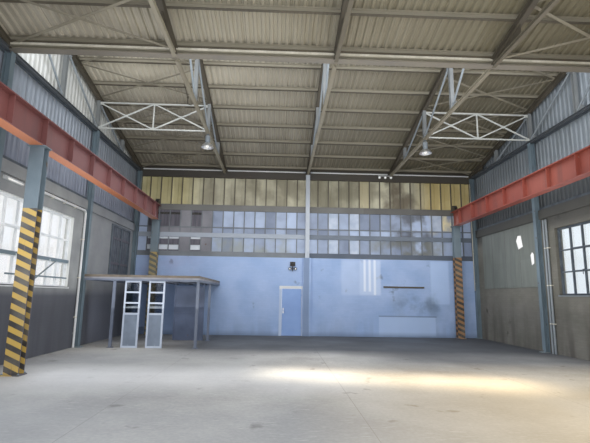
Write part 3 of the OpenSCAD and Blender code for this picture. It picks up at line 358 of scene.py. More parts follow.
# %% Ground round the building
# The four corners of a square, in turn.
AROUND = ((-1, -1), (1, -1), (1, 1), (-1, 1))
GROUND_REACH, GROUND_Z = 60, -0.001
ground = bmesh.new()
ground.faces.new([ground.verts.new((x * GROUND_REACH, y * GROUND_REACH, GROUND_Z)) for x, y in AROUND])
ground_mesh = bpy.data.meshes.new("studio_floor")
ground.to_mesh(ground_mesh)
studio_floor = bpy.data.objects.new("studio_floor", ground_mesh)
scene.collection.objects.link(studio_floor)
new_finish("studio_floor", "pale_studio_floor", "#d8d6d2", 0.9)
ground_mesh.materials.append(finishes["studio_floor"])
studio_floor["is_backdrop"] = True
print("studio floor", 2 * GROUND_REACH, "m wide")

# %% [markdown]
# ## Concrete floor
#
# The slab is power-trowelled concrete, worn grey by wheels, swept but never clean. The eye
# reads it by four things: broad pale and dark clouds where traffic went, dark oil spots,
# fine grit, and the saw-cut joints that stop it cracking, one to each column bay. All of them
# are patterns in the hall's own metres, so a joint lands on a column line.

# %% Worn concrete
JOINT_M = 0.012
tree, shader, place = new_finish("concrete_floor", "worn_trowelled_concrete", "#a8a59c", 0.75)
traffic = patches(tree, place, 2600, 0.38, 0.62)
oil = patches(tree, place, 420, 0.66, 0.74)
grit = add_node(tree, *NOISE, Vector=place, Scale=1000 / 45, Detail=5)
scratches = add_node(tree, *STRETCH, Vector=place, Scale=(0.6, 9.0, 1.0), Rotation=(0, 0, 0.35))
scratches = patches(tree, scratches, 160, 0.62, 0.72, 2)
tone = add_node(tree, *MIX, _0=traffic, _6="#969490", _7="#b7b5af")
tone = add_node(tree, *MIX, _0=scratches, _6=tone, _7="#cfccc5")
tone = add_node(tree, *MIX, _0=oil, _6=tone, _7="#6d675f")
grain = add_node(tree, *RANGE, Value=grit, From_Min=0.3, From_Max=0.7, To_Min=0.86, To_Max=1.08)
tone = add_node(tree, *SCALE, Vector=tone, Scale=grain)
joints = add_node(tree, "ShaderNodeTexBrick", {"offset": 0.0}, Vector=place, Scale=1.0, Color1=WHITE, Color2=WHITE,
                  Mortar=(0, 0, 0, 1), Mortar_Size=JOINT_M / 2, Brick_Width=BAY, Row_Height=SIDE_BAY)
tone = add_node(tree, *MIX, _0=joints.outputs["Fac"], _6=tone, _7="#7f7a72")
wear = add_node(tree, *RANGE, Value=traffic, To_Min=0.85, To_Max=0.6)
rough = add_node(tree, *BUMP, Strength=0.25, Distance=0.004, Height=grit)
connect(shader, Base_Color=tone, Roughness=wear, Normal=rough)
# Painted shade darkens the floor by the far wall and, further out, on its right; greyer fields lie over the left and
# the near floor, a paler one left of the middle, and a warm tan over the right towards the gateway.
for color, share, soft, x, y in (
    ("#2f353d", 0.85, 1.6, (-4.6, FAR_OFF), (WALL_Y - 5.6, FAR_OFF)),
    ("#43464a", 0.70, 2.4, (1.4, FAR_OFF), (WALL_Y - 8.2, FAR_OFF)),
    ("#767d85", 0.35, 3.0, (-FAR_OFF, -3.4), (-FAR_OFF, WALL_Y - 6.0)),
    ("#7b8188", 0.45, 3.0, (-FAR_OFF, 1.5), (-FAR_OFF, -1.6)),
    ("#7f8284", 0.40, 1.6, (-6.5, -1.4), (0.6, WALL_Y - 5.6)),
    ("#e9ebed", 0.35, 1.4, (-6.5, 0.5), (-1.2, 1.0)),
    ("#dcc08a", 0.50, 4.0, (1.0, FAR_OFF), (-FAR_OFF, 0.5)),
):
    paint_over("concrete_floor", color, share, soft, X=x, Y=y)
print("saw-cut joints", JOINT_M, "m wide")

# %% [markdown]
# ## Masonry: limewash inside, render outside
#
# The walls are brick. Indoors the end walls are limewashed light blue, the left wall is grey
# paint over plaster, and the right wall is bare and brown; outdoors all of them are rendered.
# One mesh has both faces, so the finish asks on which side of the wall's middle a point lies.
# Limewash lets the courses through, is patchy because it goes on by brush, and gets dirty
# from the floor up, so the stains are noise that is strongest near the ground.

# %% Painted and rendered brick
# A brick with its joint is 250 mm long and 77 mm high, and the joint is 6 mm.
BRICK_LONG, BRICK_HIGH, BRICK_JOINT = 0.25, 0.077, 0.006
TO_THE_MIDDLE = 0.13


def painted_brick(slot, name, paint, worn, stain, dirt_height, courses=0.5, dirt_share=0.9):
    """Brick wall, painted on its inner face and rendered on its outer face."""
    tree, shader, place = new_finish(slot, name, paint, 0.88)
    xyz = add_node(tree, *SPLIT, Vector=place).outputs
    along = add_node(tree, *ADD, _0=xyz["X"], _1=xyz["Y"])
    face = add_node(tree, *JOIN, X=along, Y=xyz["Z"])
    brick = add_node(tree, "ShaderNodeTexBrick", Vector=face, Scale=1.0, Color1=WHITE, Color2=(0.86, 0.86, 0.86, 1),
                     Mortar=(0.8, 0.8, 0.8, 1), Mortar_Size=BRICK_JOINT, Mortar_Smooth=0.5,
                     Brick_Width=BRICK_LONG, Row_Height=BRICK_HIGH)
    tone = add_node(tree, *MIX, _0=patches(tree, place, 900, 0.36, 0.64), _6=paint, _7=worn)
    tone = add_node(tree, *MIX, _0=patches(tree, place, 700, 0.66, 0.72, 6), _6=tone, _7=stain)
    tone = add_node(tree, *TINT, _0=courses, _6=tone, _7=brick.outputs["Color"])
    low = add_node(tree, *RANGE, Value=xyz["Z"], From_Min=above_floor(dirt_height), From_Max=FLOOR_Z,
                   To_Min=0.0, To_Max=dirt_share)
    drips = patches(tree, down_the_wall(tree, place, 0.12), 500, 0.42, 0.62)
    tone = add_node(tree, *MIX, _0=add_node(tree, *MULTIPLY, _0=low, _1=drips), _6=tone, _7=stain)
    beyond = []
    for axis, middle in (("X", WALL_X + TO_THE_MIDDLE), ("Y", WALL_Y + TO_THE_MIDDLE)):
        size = add_node(tree, *ABSOLUTE, _0=xyz[axis])
        beyond.append(add_node(tree, *GREATER, _0=size, _1=middle))
    outside = add_node(tree, *MAXIMUM, _0=beyond[0], _1=beyond[1])
    weather = patches(tree, down_the_wall(tree, place), 700, 0.40, 0.62)
    render = add_node(tree, *MIX, _0=weather, _6="#b3ada0", _7="#928c80")
    tone = add_node(tree, *MIX, _0=outside, _6=tone, _7=render)
    sand = add_node(tree, *NOISE, Vector=place, Scale=1000 / 30, Detail=4)
    relief = add_node(tree, *MULTIPLY_ADD, _0=brick.outputs["Fac"], _1=-0.7, _2=sand)
    bump = add_node(tree, *BUMP, Strength=0.5, Distance=0.005, Height=relief)
    connect(shader, Base_Color=tone, Normal=bump)


painted_brick("blue_masonry", "blue_limewashed_brick", "#95add3", "#a3b8db", "#77859b", 0.9, 0.3, 0.45)
painted_brick("grey_masonry", "grey_painted_plaster", "#878a8c", "#9a9d9d", "#5b5a58", 2.4, 0.2)
painted_brick("brown_masonry", "bare_brown_brick", "#706f66", "#7d7b73", "#57534e", 2.0, 0.7)
painted_brick("pale_masonry", "pale_rendered_brick", "#b4aea0", "#c2bdb0", "#8c8577", 0.8, 0.15)
print("masonry finishes", [name for name in finishes if "masonry" in name])

# %% [markdown]
# ## Marks on the walls
#
# Runs of fresh limewash, the ghost of a board that hung there, soot, and a pale field with a
# dark edge: the far wall tells what was done in front of it. Each mark is a rectangle of
# another tone, in metres along the wall and over the floor, with an edge as soft as its own.

# %% Marks, in metres
INSIDE = (WALL_Y - 0.3, WALL_Y + 0.12)
for color, share, soft, x, z in (
    ("#c3d2ea", 0.35, 0.10, (1.50, 3.20), (1.75, 3.24)),
    ("#c3d2ea", 0.45, 0.08, (2.29, 3.20), (1.75, 3.24)),
    ("#dfe7f4", 0.85, 0.04, (2.46, 2.56), (1.90, 3.26)),
    ("#dfe7f4", 0.85, 0.04, (2.68, 2.78), (1.90, 3.26)),
    ("#dfe7f4", 0.85, 0.04, (2.90, 3.00), (1.75, 3.26)),
    ("#b4cbee", 0.65, 0.08, (5.40, 6.20), (1.40, 3.24)),
    ("#4c5a5e", 0.85, 0.80, (3.90, 5.95), (0.95, 1.75)),
    ("#abc1e2", 0.80, 0.04, (3.10, 5.55), (0.06, 0.84)),
    ("#5f6c7c", 0.60, 0.03, (3.10, 5.60), (0.84, 0.89)),
    ("#73849f", 0.80, 0.04, (-0.15, 0.10), (-0.10, 3.30)),
    ("#a09ec0", 0.45, 1.20, (-7.50, -4.60), (2.10, 3.60)),
    ("#64748c", 0.60, 0.20, (-9.0, 9.0), (-0.20, 0.12)),
):
    paint_over("blue_masonry", color, share, soft, 700 if soft > 0.5 else 0, X=x, Y=INSIDE, Z=z)
LEFT_INSIDE, LEFT_DEPTH = (-WALL_X - 0.12, -WALL_X + 0.3), (-WALL_OUT + 0.02, -WALL_X - 0.01)
RIGHT_INSIDE = (WALL_X - 0.3, WALL_X + 0.12)
paint_over("grey_masonry", "#4b4d56", 0.9, 0.25, X=LEFT_INSIDE, Z=(-1.0, 1.68))
paint_over("grey_masonry", "#8b8e96", 0.6, 1.5, X=LEFT_INSIDE, Y=(WALL_Y - SIDE_BAY + 0.6, FAR_OFF))
# A near-white painted glare lies on the reveals of the left windows.
paint_over("grey_masonry", "#eceeec", 0.9, 0.01, X=LEFT_DEPTH, Z=(1.7, 4.0))
paint_over("brown_masonry", "#474846", 0.8, 0.3, X=RIGHT_INSIDE, Z=(3.95, FAR_OFF))
print("marks laid on", len(finishes["blue_masonry"].node_tree.nodes), "nodes of limewash")

# %% [markdown]
# ## Painted structural steel
#
# Rolled steel in a workshop gets a brush or spray coat and then decades of dust. Three things
# make it believable: the coat's tone drifts over a metre or so, rust breaks through in small
# hard-edged spots, and dust lies on every face that looks up. The dust needs no painting by
# hand, because the face's own direction says where it can lie.


# %% Dusty paint on steel
def dust_on_top(tree, tone, dust, share):
    """Dust on every face that looks up."""
    settled = add_node(tree, *RANGE, Value=facing(tree)["Z"], From_Min=0.5, From_Max=0.95, To_Max=share)
    return add_node(tree, *MIX, _0=settled, _6=tone, _7=dust)


def fine_grain(tree, place, grain_mm, detail, strength, depth):
    """A bump of fine grain, such as brush marks, depth metres deep."""
    grain = add_node(tree, *NOISE, Vector=place, Scale=1000 / grain_mm, Detail=detail)
    return add_node(tree, *BUMP, Strength=strength, Distance=depth, Height=grain)


def dusty_steel(slot, name, paint, shade, dust="#9a958a", rust_start=0.68, roughness=0.6, dust_share=0.75):
    """Painted rolled steel: drifting tone, spots of rust, and dust on what faces up."""
    tree, shader, place = new_finish(slot, name, paint, roughness)
    drift = patches(tree, place, 800, 0.35, 0.65)
    rust = patches(tree, place, 130, rust_start, rust_start + 0.05, 6)
    tone = add_node(tree, *MIX, _0=drift, _6=paint, _7=shade)
    tone = add_node(tree, *MIX, _0=rust, _6=tone, _7="#5e4c40")
    tone = dust_on_top(tree, tone, dust, dust_share)
    dull = add_node(tree, *RANGE, Value=drift, To_Min=roughness - 0.1, To_Max=roughness + 0.15)
    # Brush marks are under a millimetre wide; 20 mm is as fine as the picture can show.
    connect(shader, Base_Color=tone, Roughness=dull, Normal=fine_grain(tree, place, 20, 3, 0.15, 0.001))


ROOF_DUST, BEIGE_DUST = "#7d776a", "#8c8779"
dusty_steel("dark_steel", "dark_roof_steel", "#4a453b", "#5a5448", ROOF_DUST)
dusty_steel("light_steel", "light_truss_steel", "#929aa0", "#7f888e", rust_start=0.70)
dusty_steel("column_paint", "blue_grey_column_paint", "#74858f", "#677780")
dusty_steel("glazing_bars", "weathered_glazing_bars", "#787e84", "#6b7075", rust_start=0.70)
dusty_steel("white_paint", "white_enamel_on_steel", "#dcdfe0", "#c9cccd", rust_start=0.72, roughness=0.45)
dusty_steel("door_paint", "pale_blue_door_enamel", "#7897ca", "#86a3d2", rust_start=0.74, roughness=0.45)
dusty_steel("purlin_steel", "purlin_steel_sprayed_from_below", "#4a453b", "#5a5448", ROOF_DUST)
dusty_steel("tie_steel", "beige_sprayed_tie_steel", "#a59f8d", "#969080", BEIGE_DUST, rust_start=0.74)
dusty_steel("brace_steel", "beige_sprayed_brace_steel", "#8f8a7a", "#807b6d", BEIGE_DUST, rust_start=0.74)
dusty_steel("valley_steel", "grey_valley_steel", "#7f7a72", "#8b8579", ROOF_DUST, rust_start=0.74)
dusty_steel("lattice_paint", "pale_grey_lattice_paint", "#d6d9d4", "#c3c7c4", rust_start=0.74)
dusty_steel("post_paint", "grey_truss_post_paint", "#85898a", "#777b7c", rust_start=0.72)
dusty_steel("eaves_steel", "dark_eaves_steel", "#403c37", "#4a463f", "#6b665c")
print("steel finishes:", len(finishes))

# %% Second coats of the steel
paint_over("purlin_steel", "#9a9585", 0.85, 0.02, roof=(0.042, 0.2))
paint_over("valley_steel", "#b9b4a2", 0.7, 0.02, Z=(7.125, FAR_OFF))
paint_over("tie_steel", "#5a5446", 0.75, 0.2, X=(-2, 9), Y=(-FAR_OFF, 0))
paint_over("tie_steel", "#4d4538", 0.25, 0.01, Z=(6.98, 7.012))
paint_over("tie_steel", "#4a525b", 0.9, 0.2, X=(-9, -7.0))
paint_over("tie_steel", "#4a525b", 0.9, 0.2, X=(7.0, 9))
for color, share, x, z in (
    ("#5b5344", 0.90, (-9, 9), (5.57, 6.80)),
    ("#6a6862", 0.75, (-9, 9), (5.29, 5.57)),
    ("#a6afbb", 0.80, (-9, 0), (4.115, 4.315)),
    ("#66717f", 0.70, (0, 9), (4.115, 4.315)),
    ("#55544f", 0.60, (2.5, 9), (5.29, 5.57)),
    ("#4c5665", 0.85, (0, 9), (3.28, 3.51)),
):
    paint_over("glazing_bars", color, share, 0.01, X=x, Z=z)
# White enamel is greyer on the far wall's middle post, on the pipes of the right wall, on the screens under the
# platform and round the door.
for color, limits in (
    ("#aab2bc", dict(X=(-0.2, 0.2), Y=(9.2, 9.8), Z=(3.2, 9))),
    ("#7b848a", dict(X=(WALL_X - 0.2, WALL_X + 0.1))),
    ("#b2bdce", dict(X=(-6.2, -4.6), Y=(4.7, 4.95))),
    ("#a9bad4", dict(X=(-1.3, -0.1), Y=(9.5, 9.7), Z=(-1, 1.95))),
):
    paint_over("white_paint", color, 0.9, 0.02, **limits)
print("white enamel now has", len(finishes["white_paint"].node_tree.nodes), "nodes")

# %% [markdown]
# ## Window steel
#
# The side windows' bars are thin rolled sections in dark grey-blue paint. On the left side
# they face the sun and stand against the bright panes, so below the window heads, from the left
# wall's inner face outwards, they carry a near-white painted glare.

# %% Window steel with a painted glare on the left
tree, shader, place = new_finish("window_steel", "window_steel_with_painted_glare", "#4d555c", 0.6)
xyz = add_node(tree, *SPLIT, Vector=place).outputs
left = add_node(tree, *LESS, _0=xyz["X"], _1=-WALL_X - 0.02)
low = add_node(tree, *LESS, _0=xyz["Z"], _1=above_floor(3.95))
painted_glare_mask = add_node(tree, *MULTIPLY, _0=left, _1=low)
bar_patches = patches(tree, place, 300, 0.40, 0.60)
dark = add_node(tree, *MIX, _0=bar_patches, _6="#4a525c", _7="#5d666e")
# The pale tone is the painted glare on the left bars below the window heads.
pale = add_node(tree, *MIX, _0=bar_patches, _6="#e3e8ec", _7="#f4f7f9")
tone = add_node(tree, *MIX, _0=painted_glare_mask, _6=dark, _7=pale)
tone = add_node(tree, *MIX, _0=patches(tree, place, 90, 0.72, 0.76, 5), _6=tone, _7="#6a4a38")
connect(shader, Base_Color=tone)
print("window steel:", len(tree.nodes), "nodes")

# %% [markdown]
# ## Crane columns with warning stripes
#
# The crane columns are painted blue-grey, and to a bit over head height they carry slanted
# yellow and black bands, so that a driver sees them. On the right the yellow has aged to
# orange brown. The bands are a wave along a tilted direction: height plus a share of the
# distance across, cut hard at half way. Scrapes near the floor show primer.
# The columns' side faces carry a painted shade in place of the bands.

# %% Striped column paint
STRIPE_PITCH_M, STRIPE_TILT, STRIPE_TOP = 0.225, 0.45, 3.4
tree, shader, place = new_finish("striped_paint", "striped_column_paint", "#8296a2", 0.55)
xyz = add_node(tree, *SPLIT, Vector=place).outputs
across = add_node(tree, *ADD, _0=xyz["X"], _1=xyz["Y"])
slant = add_node(tree, *MULTIPLY_ADD, _0=across, _1=STRIPE_TILT, _2=xyz["Z"])
share = add_node(tree, *FRACT, _0=add_node(tree, *DIVIDE, _0=slant, _1=STRIPE_PITCH_M))
black_band = add_node(tree, *GREATER, _0=share, _1=0.5)
right = add_node(tree, *GREATER, _0=xyz["X"], _1=0.0)
yellow = add_node(tree, *MIX, _0=right, _6="#c6a552", _7="#9a744e")
bands = add_node(tree, *MIX, _0=black_band, _6=yellow, _7="#3f3d3c")
faded = add_node(tree, *MULTIPLY, _0=patches(tree, place, 500, 0.40, 0.70), _1=0.35)
bands = add_node(tree, *MIX, _0=faded, _6=bands, _7="#9a9488")
plain = add_node(tree, *MIX, _0=patches(tree, place, 700, 0.35, 0.65), _6="#66757f", _7="#76858e")
# Faces that don't look along the hall get a painted shade, #5d5b66, in place of the bands.
front = add_node(tree, *GREATER, _0=add_node(tree, *ABSOLUTE, _0=facing(tree)["Y"]), _1=0.5)
bands = add_node(tree, *MIX, _0=front, _6="#5d5b66", _7=bands)
under = add_node(tree, *LESS, _0=xyz["Z"], _1=above_floor(STRIPE_TOP))
tone = add_node(tree, *MIX, _0=under, _6=plain, _7=bands)
scrapes = patches(tree, down_the_wall(tree, place), 90, 0.66, 0.70, 6)
tone = add_node(tree, *MIX, _0=scrapes, _6=tone, _7="#6b5a4c")
connect(shader, Base_Color=tone)
paint_over("striped_paint", "#74786f", 0.6, 0.5, X=(-9, 0), Y=(5, FAR_OFF), Z=(-FLOOR_Z, STRIPE_TOP))
print("stripes", STRIPE_PITCH_M, "m apart")

# %% [markdown]
# ## Crane girders in red oxide
#
# Red oxide is an iron primer that was left as the top coat. It is matt and warm, soot gathers
# along its lower half, and the flanges have been rubbed by wheels and cables to a paler pink.
# Dust and a painted highlight make the top edge pale, and that thin pale line is what draws the
# girder in the picture. The left girder carries painted shade, and the underside of its lower
# flange a painted warm light.

# %% Red oxide
tree, shader, place = new_finish("red_oxide", "red_oxide_primer", "#a8493c", 0.6)
tone = add_node(tree, *MIX, _0=patches(tree, place, 1200, 0.35, 0.65), _6="#8a4439", _7="#985042")
soot = patches(tree, down_the_wall(tree, place), 350, 0.52, 0.72)
tone = add_node(tree, *MIX, _0=add_node(tree, *MULTIPLY, _0=soot, _1=0.55), _6=tone, _7="#5d3a36")
tone = add_node(tree, *MIX, _0=patches(tree, place, 70, 0.70, 0.73, 5), _6=tone, _7="#8d7f78")
# Dust on what looks up, pale enough to serve as a painted highlight along the top flange too.
tone = dust_on_top(tree, tone, "#9c8078", 0.8)
connect(shader, Base_Color=tone, Normal=fine_grain(tree, place, 25, 4, 0.2, 0.0015))
# Painted shade darkens the left girder.
paint_over("red_oxide", "#6c5053", 0.75, 6.0, X=(-9, 0), Y=(-1, FAR_OFF))
paint_over("red_oxide", "#6c4a4c", 0.5, 6.0, X=(-9, 0), Y=(-FAR_OFF, 2))
# A painted warm light on the underside of the left girder's lower flange.
paint_over("red_oxide", "#d08358", 0.8, 0.01, X=(-9, 0), Z=(0, 4.80), up=(-1.3, -0.6))
print("red oxide:", len(tree.nodes), "nodes")

# %% [markdown]
# ## Corrugated sheets
#
# Roof and side walls are profiled sheets, about a metre wide each, lapped side by side. Every
# sheet comes from another batch and has had its own weather, so its tone differs a little from
# its neighbour's, and rain draws dirt down its ribs. Indoors the roof is painted beige and the
# sides pale blue-grey; outdoors both are weathered. The face's direction tells the two apart.

# %% Weathered profiled sheet
LAP_M, SHEET_LONG = 0.012, 3.2


def profiled_sheet(slot, name, inner, outer, sheet_m, run, roughness):
    """Profiled sheet: a tone for each sheet along run, streaks down it, another paint outside."""
    tree, shader, place = new_finish(slot, name, inner[0], roughness)
    xyz = add_node(tree, *SPLIT, Vector=place).outputs
    on_the_roof = run == "X"
    count = add_node(tree, *DIVIDE, _0=xyz[run], _1=sheet_m)
    level = add_node(tree, *DIVIDE, _0=xyz["Y" if on_the_roof else "Z"], _1=SHEET_LONG)
    key = add_node(tree, *JOIN, X=add_node(tree, *FLOOR, _0=count), Y=add_node(tree, *FLOOR, _0=level))
    batch = add_node(tree, "ShaderNodeTexWhiteNoise", {"noise_dimensions": "2D"}, Vector=key)
    streaks = add_node(tree, *STRETCH, Vector=place, Scale=(1, 0.12, 1) if on_the_roof else (1, 1, 0.12))
    streaks = patches(tree, streaks, 420 if on_the_roof else 160, 0.42, 0.66)
    clouds = patches(tree, place, 1500, 0.35, 0.65)
    grime = add_node(tree, *MULTIPLY_ADD, _0=streaks, _1=0.45, _2=-0.05)
    grime = add_node(tree, *CLAMPED_MULTIPLY_ADD, _0=clouds, _1=0.35, _2=grime)
    indoors = add_node(tree, *MIX, _0=grime, _6=inner[0], _7=inner[1])
    outdoors = add_node(tree, *MIX, _0=grime, _6=outer[0], _7=outer[1])
    looks = facing(tree)
    away = looks["Z"] if on_the_roof else add_node(tree, *MULTIPLY, _0=looks["X"], _1=xyz["X"])
    outside = add_node(tree, *GREATER, _0=away, _1=0.0)
    tone = add_node(tree, *MIX, _0=outside, _6=indoors, _7=outdoors)
    bright = add_node(tree, *RANGE, Value=batch, To_Min=0.9, To_Max=1.06)
    tone = add_node(tree, *SCALE, Vector=tone, Scale=bright)
    lap = add_node(tree, *LESS, _0=add_node(tree, *FRACT, _0=count), _1=LAP_M / sheet_m)
    connect(shader, Base_Color=add_node(tree, *MIX, _0=lap, _6=tone, _7="#4c483f"))


for slot, name, inner, outer, sheet_m, run, roughness in (
    ("roof_sheet", "beige_painted_roof_sheet", ("#ada799", "#8f897b"), ("#9a978f", "#77746c"), 1.06, "X", 0.7),
    ("side_sheet", "blue_grey_side_sheet", ("#a6b0bb", "#7c858c"), ("#9aa2a6", "#7b8184"), 1.005, "Y", 0.5),
    ("lining_sheet", "dull_green_grey_lining", ("#7c817a", "#676b66"), ("#9a9f96", "#7e8279"), 1.02, "Y", 0.6),
):
    profiled_sheet(slot, name, inner, outer, sheet_m, run, roughness)
print("sheets", SHEET_LONG, "m long, with lap lines", LAP_M, "m wide")

# %% Painted light and shade, and second coats, of the sheets
CREST_LIFT = 0.155
LOOKS_DOWN = (-1.3, 0.0)
# Painted light and shade under the roof: the recessed crests and the steep webs lighter against their shade, the far
# end, the right half and the near tooth darker, and the upper left of the far tooth lighter under its glazing.
paint_over("roof_sheet", "#c9c4b6", 0.3, 0.02, roof=(CREST_LIFT, 0.5), up=LOOKS_DOWN)
paint_over("roof_sheet", "#e0dac8", 0.35, 3.0, X=(-2.6, FAR_OFF), up=(-0.86, 0.0))
paint_over("roof_sheet", "#6d6a61", 0.3, 3.0, Y=(WALL_Y - 2.6, FAR_OFF), up=LOOKS_DOWN)
paint_over("roof_sheet", "#5b5640", 0.75, 6.0, X=(0.6, FAR_OFF), up=LOOKS_DOWN)
paint_over("roof_sheet", "#6f6a53", 0.5, 2.5, X=(-5.0, FAR_OFF), Y=(-FAR_OFF, -0.5), up=LOOKS_DOWN)
paint_over("roof_sheet", "#dcd6c4", 0.6, 2.5, X=(-FAR_OFF, -2.8), Y=(0.4, 4.8), up=LOOKS_DOWN)
LEFT_SHEET, RIGHT_SHEET = dict(X=(-9, -7), right=(0.02, 1.3)), dict(X=(7, 9), right=(-1.3, -0.02))
UNDER_GIRDER = (4.5, 5.55)
# On the inner faces of the side sheets: a darker tone over the right, a painted highlight high on the left with a
# darker tone under it, and painted shade towards the far wall and under the girders.
paint_over("side_sheet", "#7d8486", 0.4, 0.01, **RIGHT_SHEET)
paint_over("side_sheet", "#dddcd2", 0.6, 0.04, Z=(7.0, FAR_OFF), **LEFT_SHEET)
paint_over("side_sheet", "#787e8a", 0.35, 0.04, Z=(5.55, 7.0), **LEFT_SHEET)
paint_over("side_sheet", "#50514f", 0.45, 4.0, Y=(WALL_Y - 3.0, FAR_OFF), **LEFT_SHEET)
paint_over("side_sheet", "#3c4240", 0.65, 4.0, Y=(WALL_Y - 5.5, FAR_OFF), **RIGHT_SHEET)
paint_over("side_sheet", "#34383a", 0.85, 0.04, Z=UNDER_GIRDER, **RIGHT_SHEET)
paint_over("side_sheet", "#6d7088", 0.5, 0.04, Z=UNDER_GIRDER, **LEFT_SHEET)
print("roof sheet now has", len(finishes["roof_sheet"].node_tree.nodes), "nodes")

# %% [markdown]
# ## Dusty glass
#
# Factory glass is wired or plain, and years of dust turn it from clear to milky: light comes
# through, shapes don't. So it is rough glass with a pale colour, and each pane gets its own
# share of dust, since panes are washed, broken and replaced one by one. The white noise is
# asked once for each pane, by rounding the place down to the pane that it lies in.

# %% Glass, pane by pane
GLASS_IOR = 1.5
SIDE_PANE = 0.5314


def dusty_glass(slot, name, clean, dusty, axis, start, pitch, bay, sills, clear, roughness=0.45):
    """Old glass whose dust differs from pane to pane; sills are the heights where rows begin."""
    tree, shader, place = new_finish(slot, name, clean, roughness)
    xyz = add_node(tree, *SPLIT, Vector=place).outputs
    along = add_node(tree, *WRAP, _0=xyz[axis], _1=start + bay, _2=start)
    along = add_node(tree, *DIVIDE, _0=add_node(tree, *SUBTRACT, _0=along, _1=start), _1=pitch)
    column = add_node(tree, *FLOOR, _0=along)
    window = add_node(tree, *FLOOR, _0=add_node(tree, *DIVIDE, _0=xyz[axis], _1=bay))
    row = add_node(tree, *SIGN, _0=xyz["X" if axis == "Y" else "Y"])
    for sill in sills:
        over = add_node(tree, *GREATER, _0=xyz["Z"], _1=above_floor(sill))
        row = add_node(tree, *MULTIPLY_ADD, _0=over, _1=3.7, _2=row)
    key = add_node(tree, *JOIN, X=column, Y=row, Z=window)
    pane = add_node(tree, "ShaderNodeTexWhiteNoise", {"noise_dimensions": "3D"}, Vector=key)
    clouds = patches(tree, place, 400, 0.35, 0.65)
    dust = add_node(tree, *CLAMPED_MULTIPLY_ADD, _0=clouds, _1=0.35, _2=-0.1)
    dust = add_node(tree, *CLAMPED_ADD, _0=pane, _1=dust)
    connect(shader, Base_Color=add_node(tree, *MIX, _0=dust, _6=clean, _7=dusty),
            Transmission_Weight=clear, IOR=GLASS_IOR)


dusty_glass("window_glass", "far_window_glass_dusty", "#c5d5ef", "#8491aa", "X", -2 * BAY, PANEL, BAY * 4,
            [4.2, 4.56], clear=0.6)
dusty_glass("side_glass", "side_window_glass_dusty", "#ffffff", "#f4f7f9", "Y", 0.29, SIDE_PANE, SIDE_BAY,
            [2.49, 3.19], clear=1.0, roughness=0.12)
dusty_glass("roof_glass", "wired_roof_glass_dusty", "#f4f6f2", "#cfd3cb", "X", -2 * BAY, BAY / 4, BAY * 4,
            [], clear=0.8)
paint_over("side_glass", "#edf6fb", 1.0, 0.5, X=(1, 9))
for color, share, x, z in (
    ("#55565c", 0.80, (3.70, 5.50), (3.4, 5.4)),
    ("#a7aa98", 0.55, (-4.60, -0.80), (3.4, 4.15)),
    ("#efe3b8", 0.90, (5.50, 6.50), (4.5, 5.4)),
    ("#83857a", 0.65, (2.80, 6.50), (3.4, 4.15)),
):
    paint_over("window_glass", color, share, 0.3, 500, X=x, Y=(9, 11), Z=z)
print("glass finishes", [name for name in finishes if "glass" in name])

# %% [markdown]
# ## Yellowed translucent sheets
#
# Over the glazing of the end walls runs a band of ribbed glass-fibre sheet. New, it is milky
# white; sun and smoke have turned it yellow and brown in clouds, sheet by sheet. It lets some
# light through and spreads it, so it is mostly a matt plastic with a share of transmission.

# %% Glass-fibre sheet
tree, shader, place = new_finish("translucent_sheet", "yellowed_glass_fibre_sheet", "#b5ab80", 0.7)
xyz = add_node(tree, *SPLIT, Vector=place).outputs
which = add_node(tree, *FLOOR, _0=add_node(tree, *DIVIDE, _0=xyz["X"], _1=PANEL))
key = add_node(tree, *JOIN, X=which)
batch = add_node(tree, "ShaderNodeTexWhiteNoise", {"noise_dimensions": "2D"}, Vector=key)
clouds = patches(tree, place, 900, 0.38, 0.64, 5)
smoke = add_node(tree, *CLAMPED_MULTIPLY_ADD, _0=batch, _1=0.6, _2=clouds)
connect(shader, Base_Color=add_node(tree, *MIX, _0=smoke, _6="#e2dfc8", _7="#a6a18c"), Transmission_Weight=0.35)
for color, share, soft, cloud_mm, x in (
    ("#d6cc92", 0.60, 1.00, 0, (-7.60, -5.00)),
    ("#85816b", 0.40, 0.50, 0, (0.20, 2.20)),
    ("#d5cca9", 0.70, 0.03, 0, (2.33, 2.75)),
    ("#6d6151", 0.70, 0.50, 900, (3.30, 5.20)),
    ("#d6c27f", 0.70, 0.80, 0, (5.20, 7.60)),
):
    paint_over("translucent_sheet", color, share, soft, cloud_mm, X=x)
print("glass fibre:", len(tree.nodes), "nodes")

# %% [markdown]
# ## Zinc, platform and lamp metal
#
# The valley gutter is zinc sheet, dull and pale, with the flower pattern of its crystals. The
# platform is painted steel with a deck of sawn planks, so its one finish asks for the height:
# planks on top, a paler coat on the edge beam, dark joists under it. The lamps are spun
# aluminium, which is a true metal: its colour is in the reflection.

# %% Zinc
# Zinc's crystals are 10 to 20 mm; they are drawn 60 mm wide, so that they show.
tree, shader, place = new_finish("gutter_zinc", "dull_zinc_sheet", "#c2c0b4", 0.5, metallic=0.1)
crystals = add_node(tree, "ShaderNodeTexVoronoi", Vector=place, Scale=1000 / 60)
spangle = add_node(tree, *RANGE, Value=crystals.outputs["Distance"], To_Min=0.92, To_Max=1.05)
runs = patches(tree, down_the_wall(tree, place), 400, 0.40, 0.66)
tone = add_node(tree, *MIX, _0=runs, _6="#e4e0d2", _7="#c9c5b5")
connect(shader, Base_Color=add_node(tree, *SCALE, Vector=tone, Scale=spangle))
print("zinc:", len(tree.nodes), "nodes")

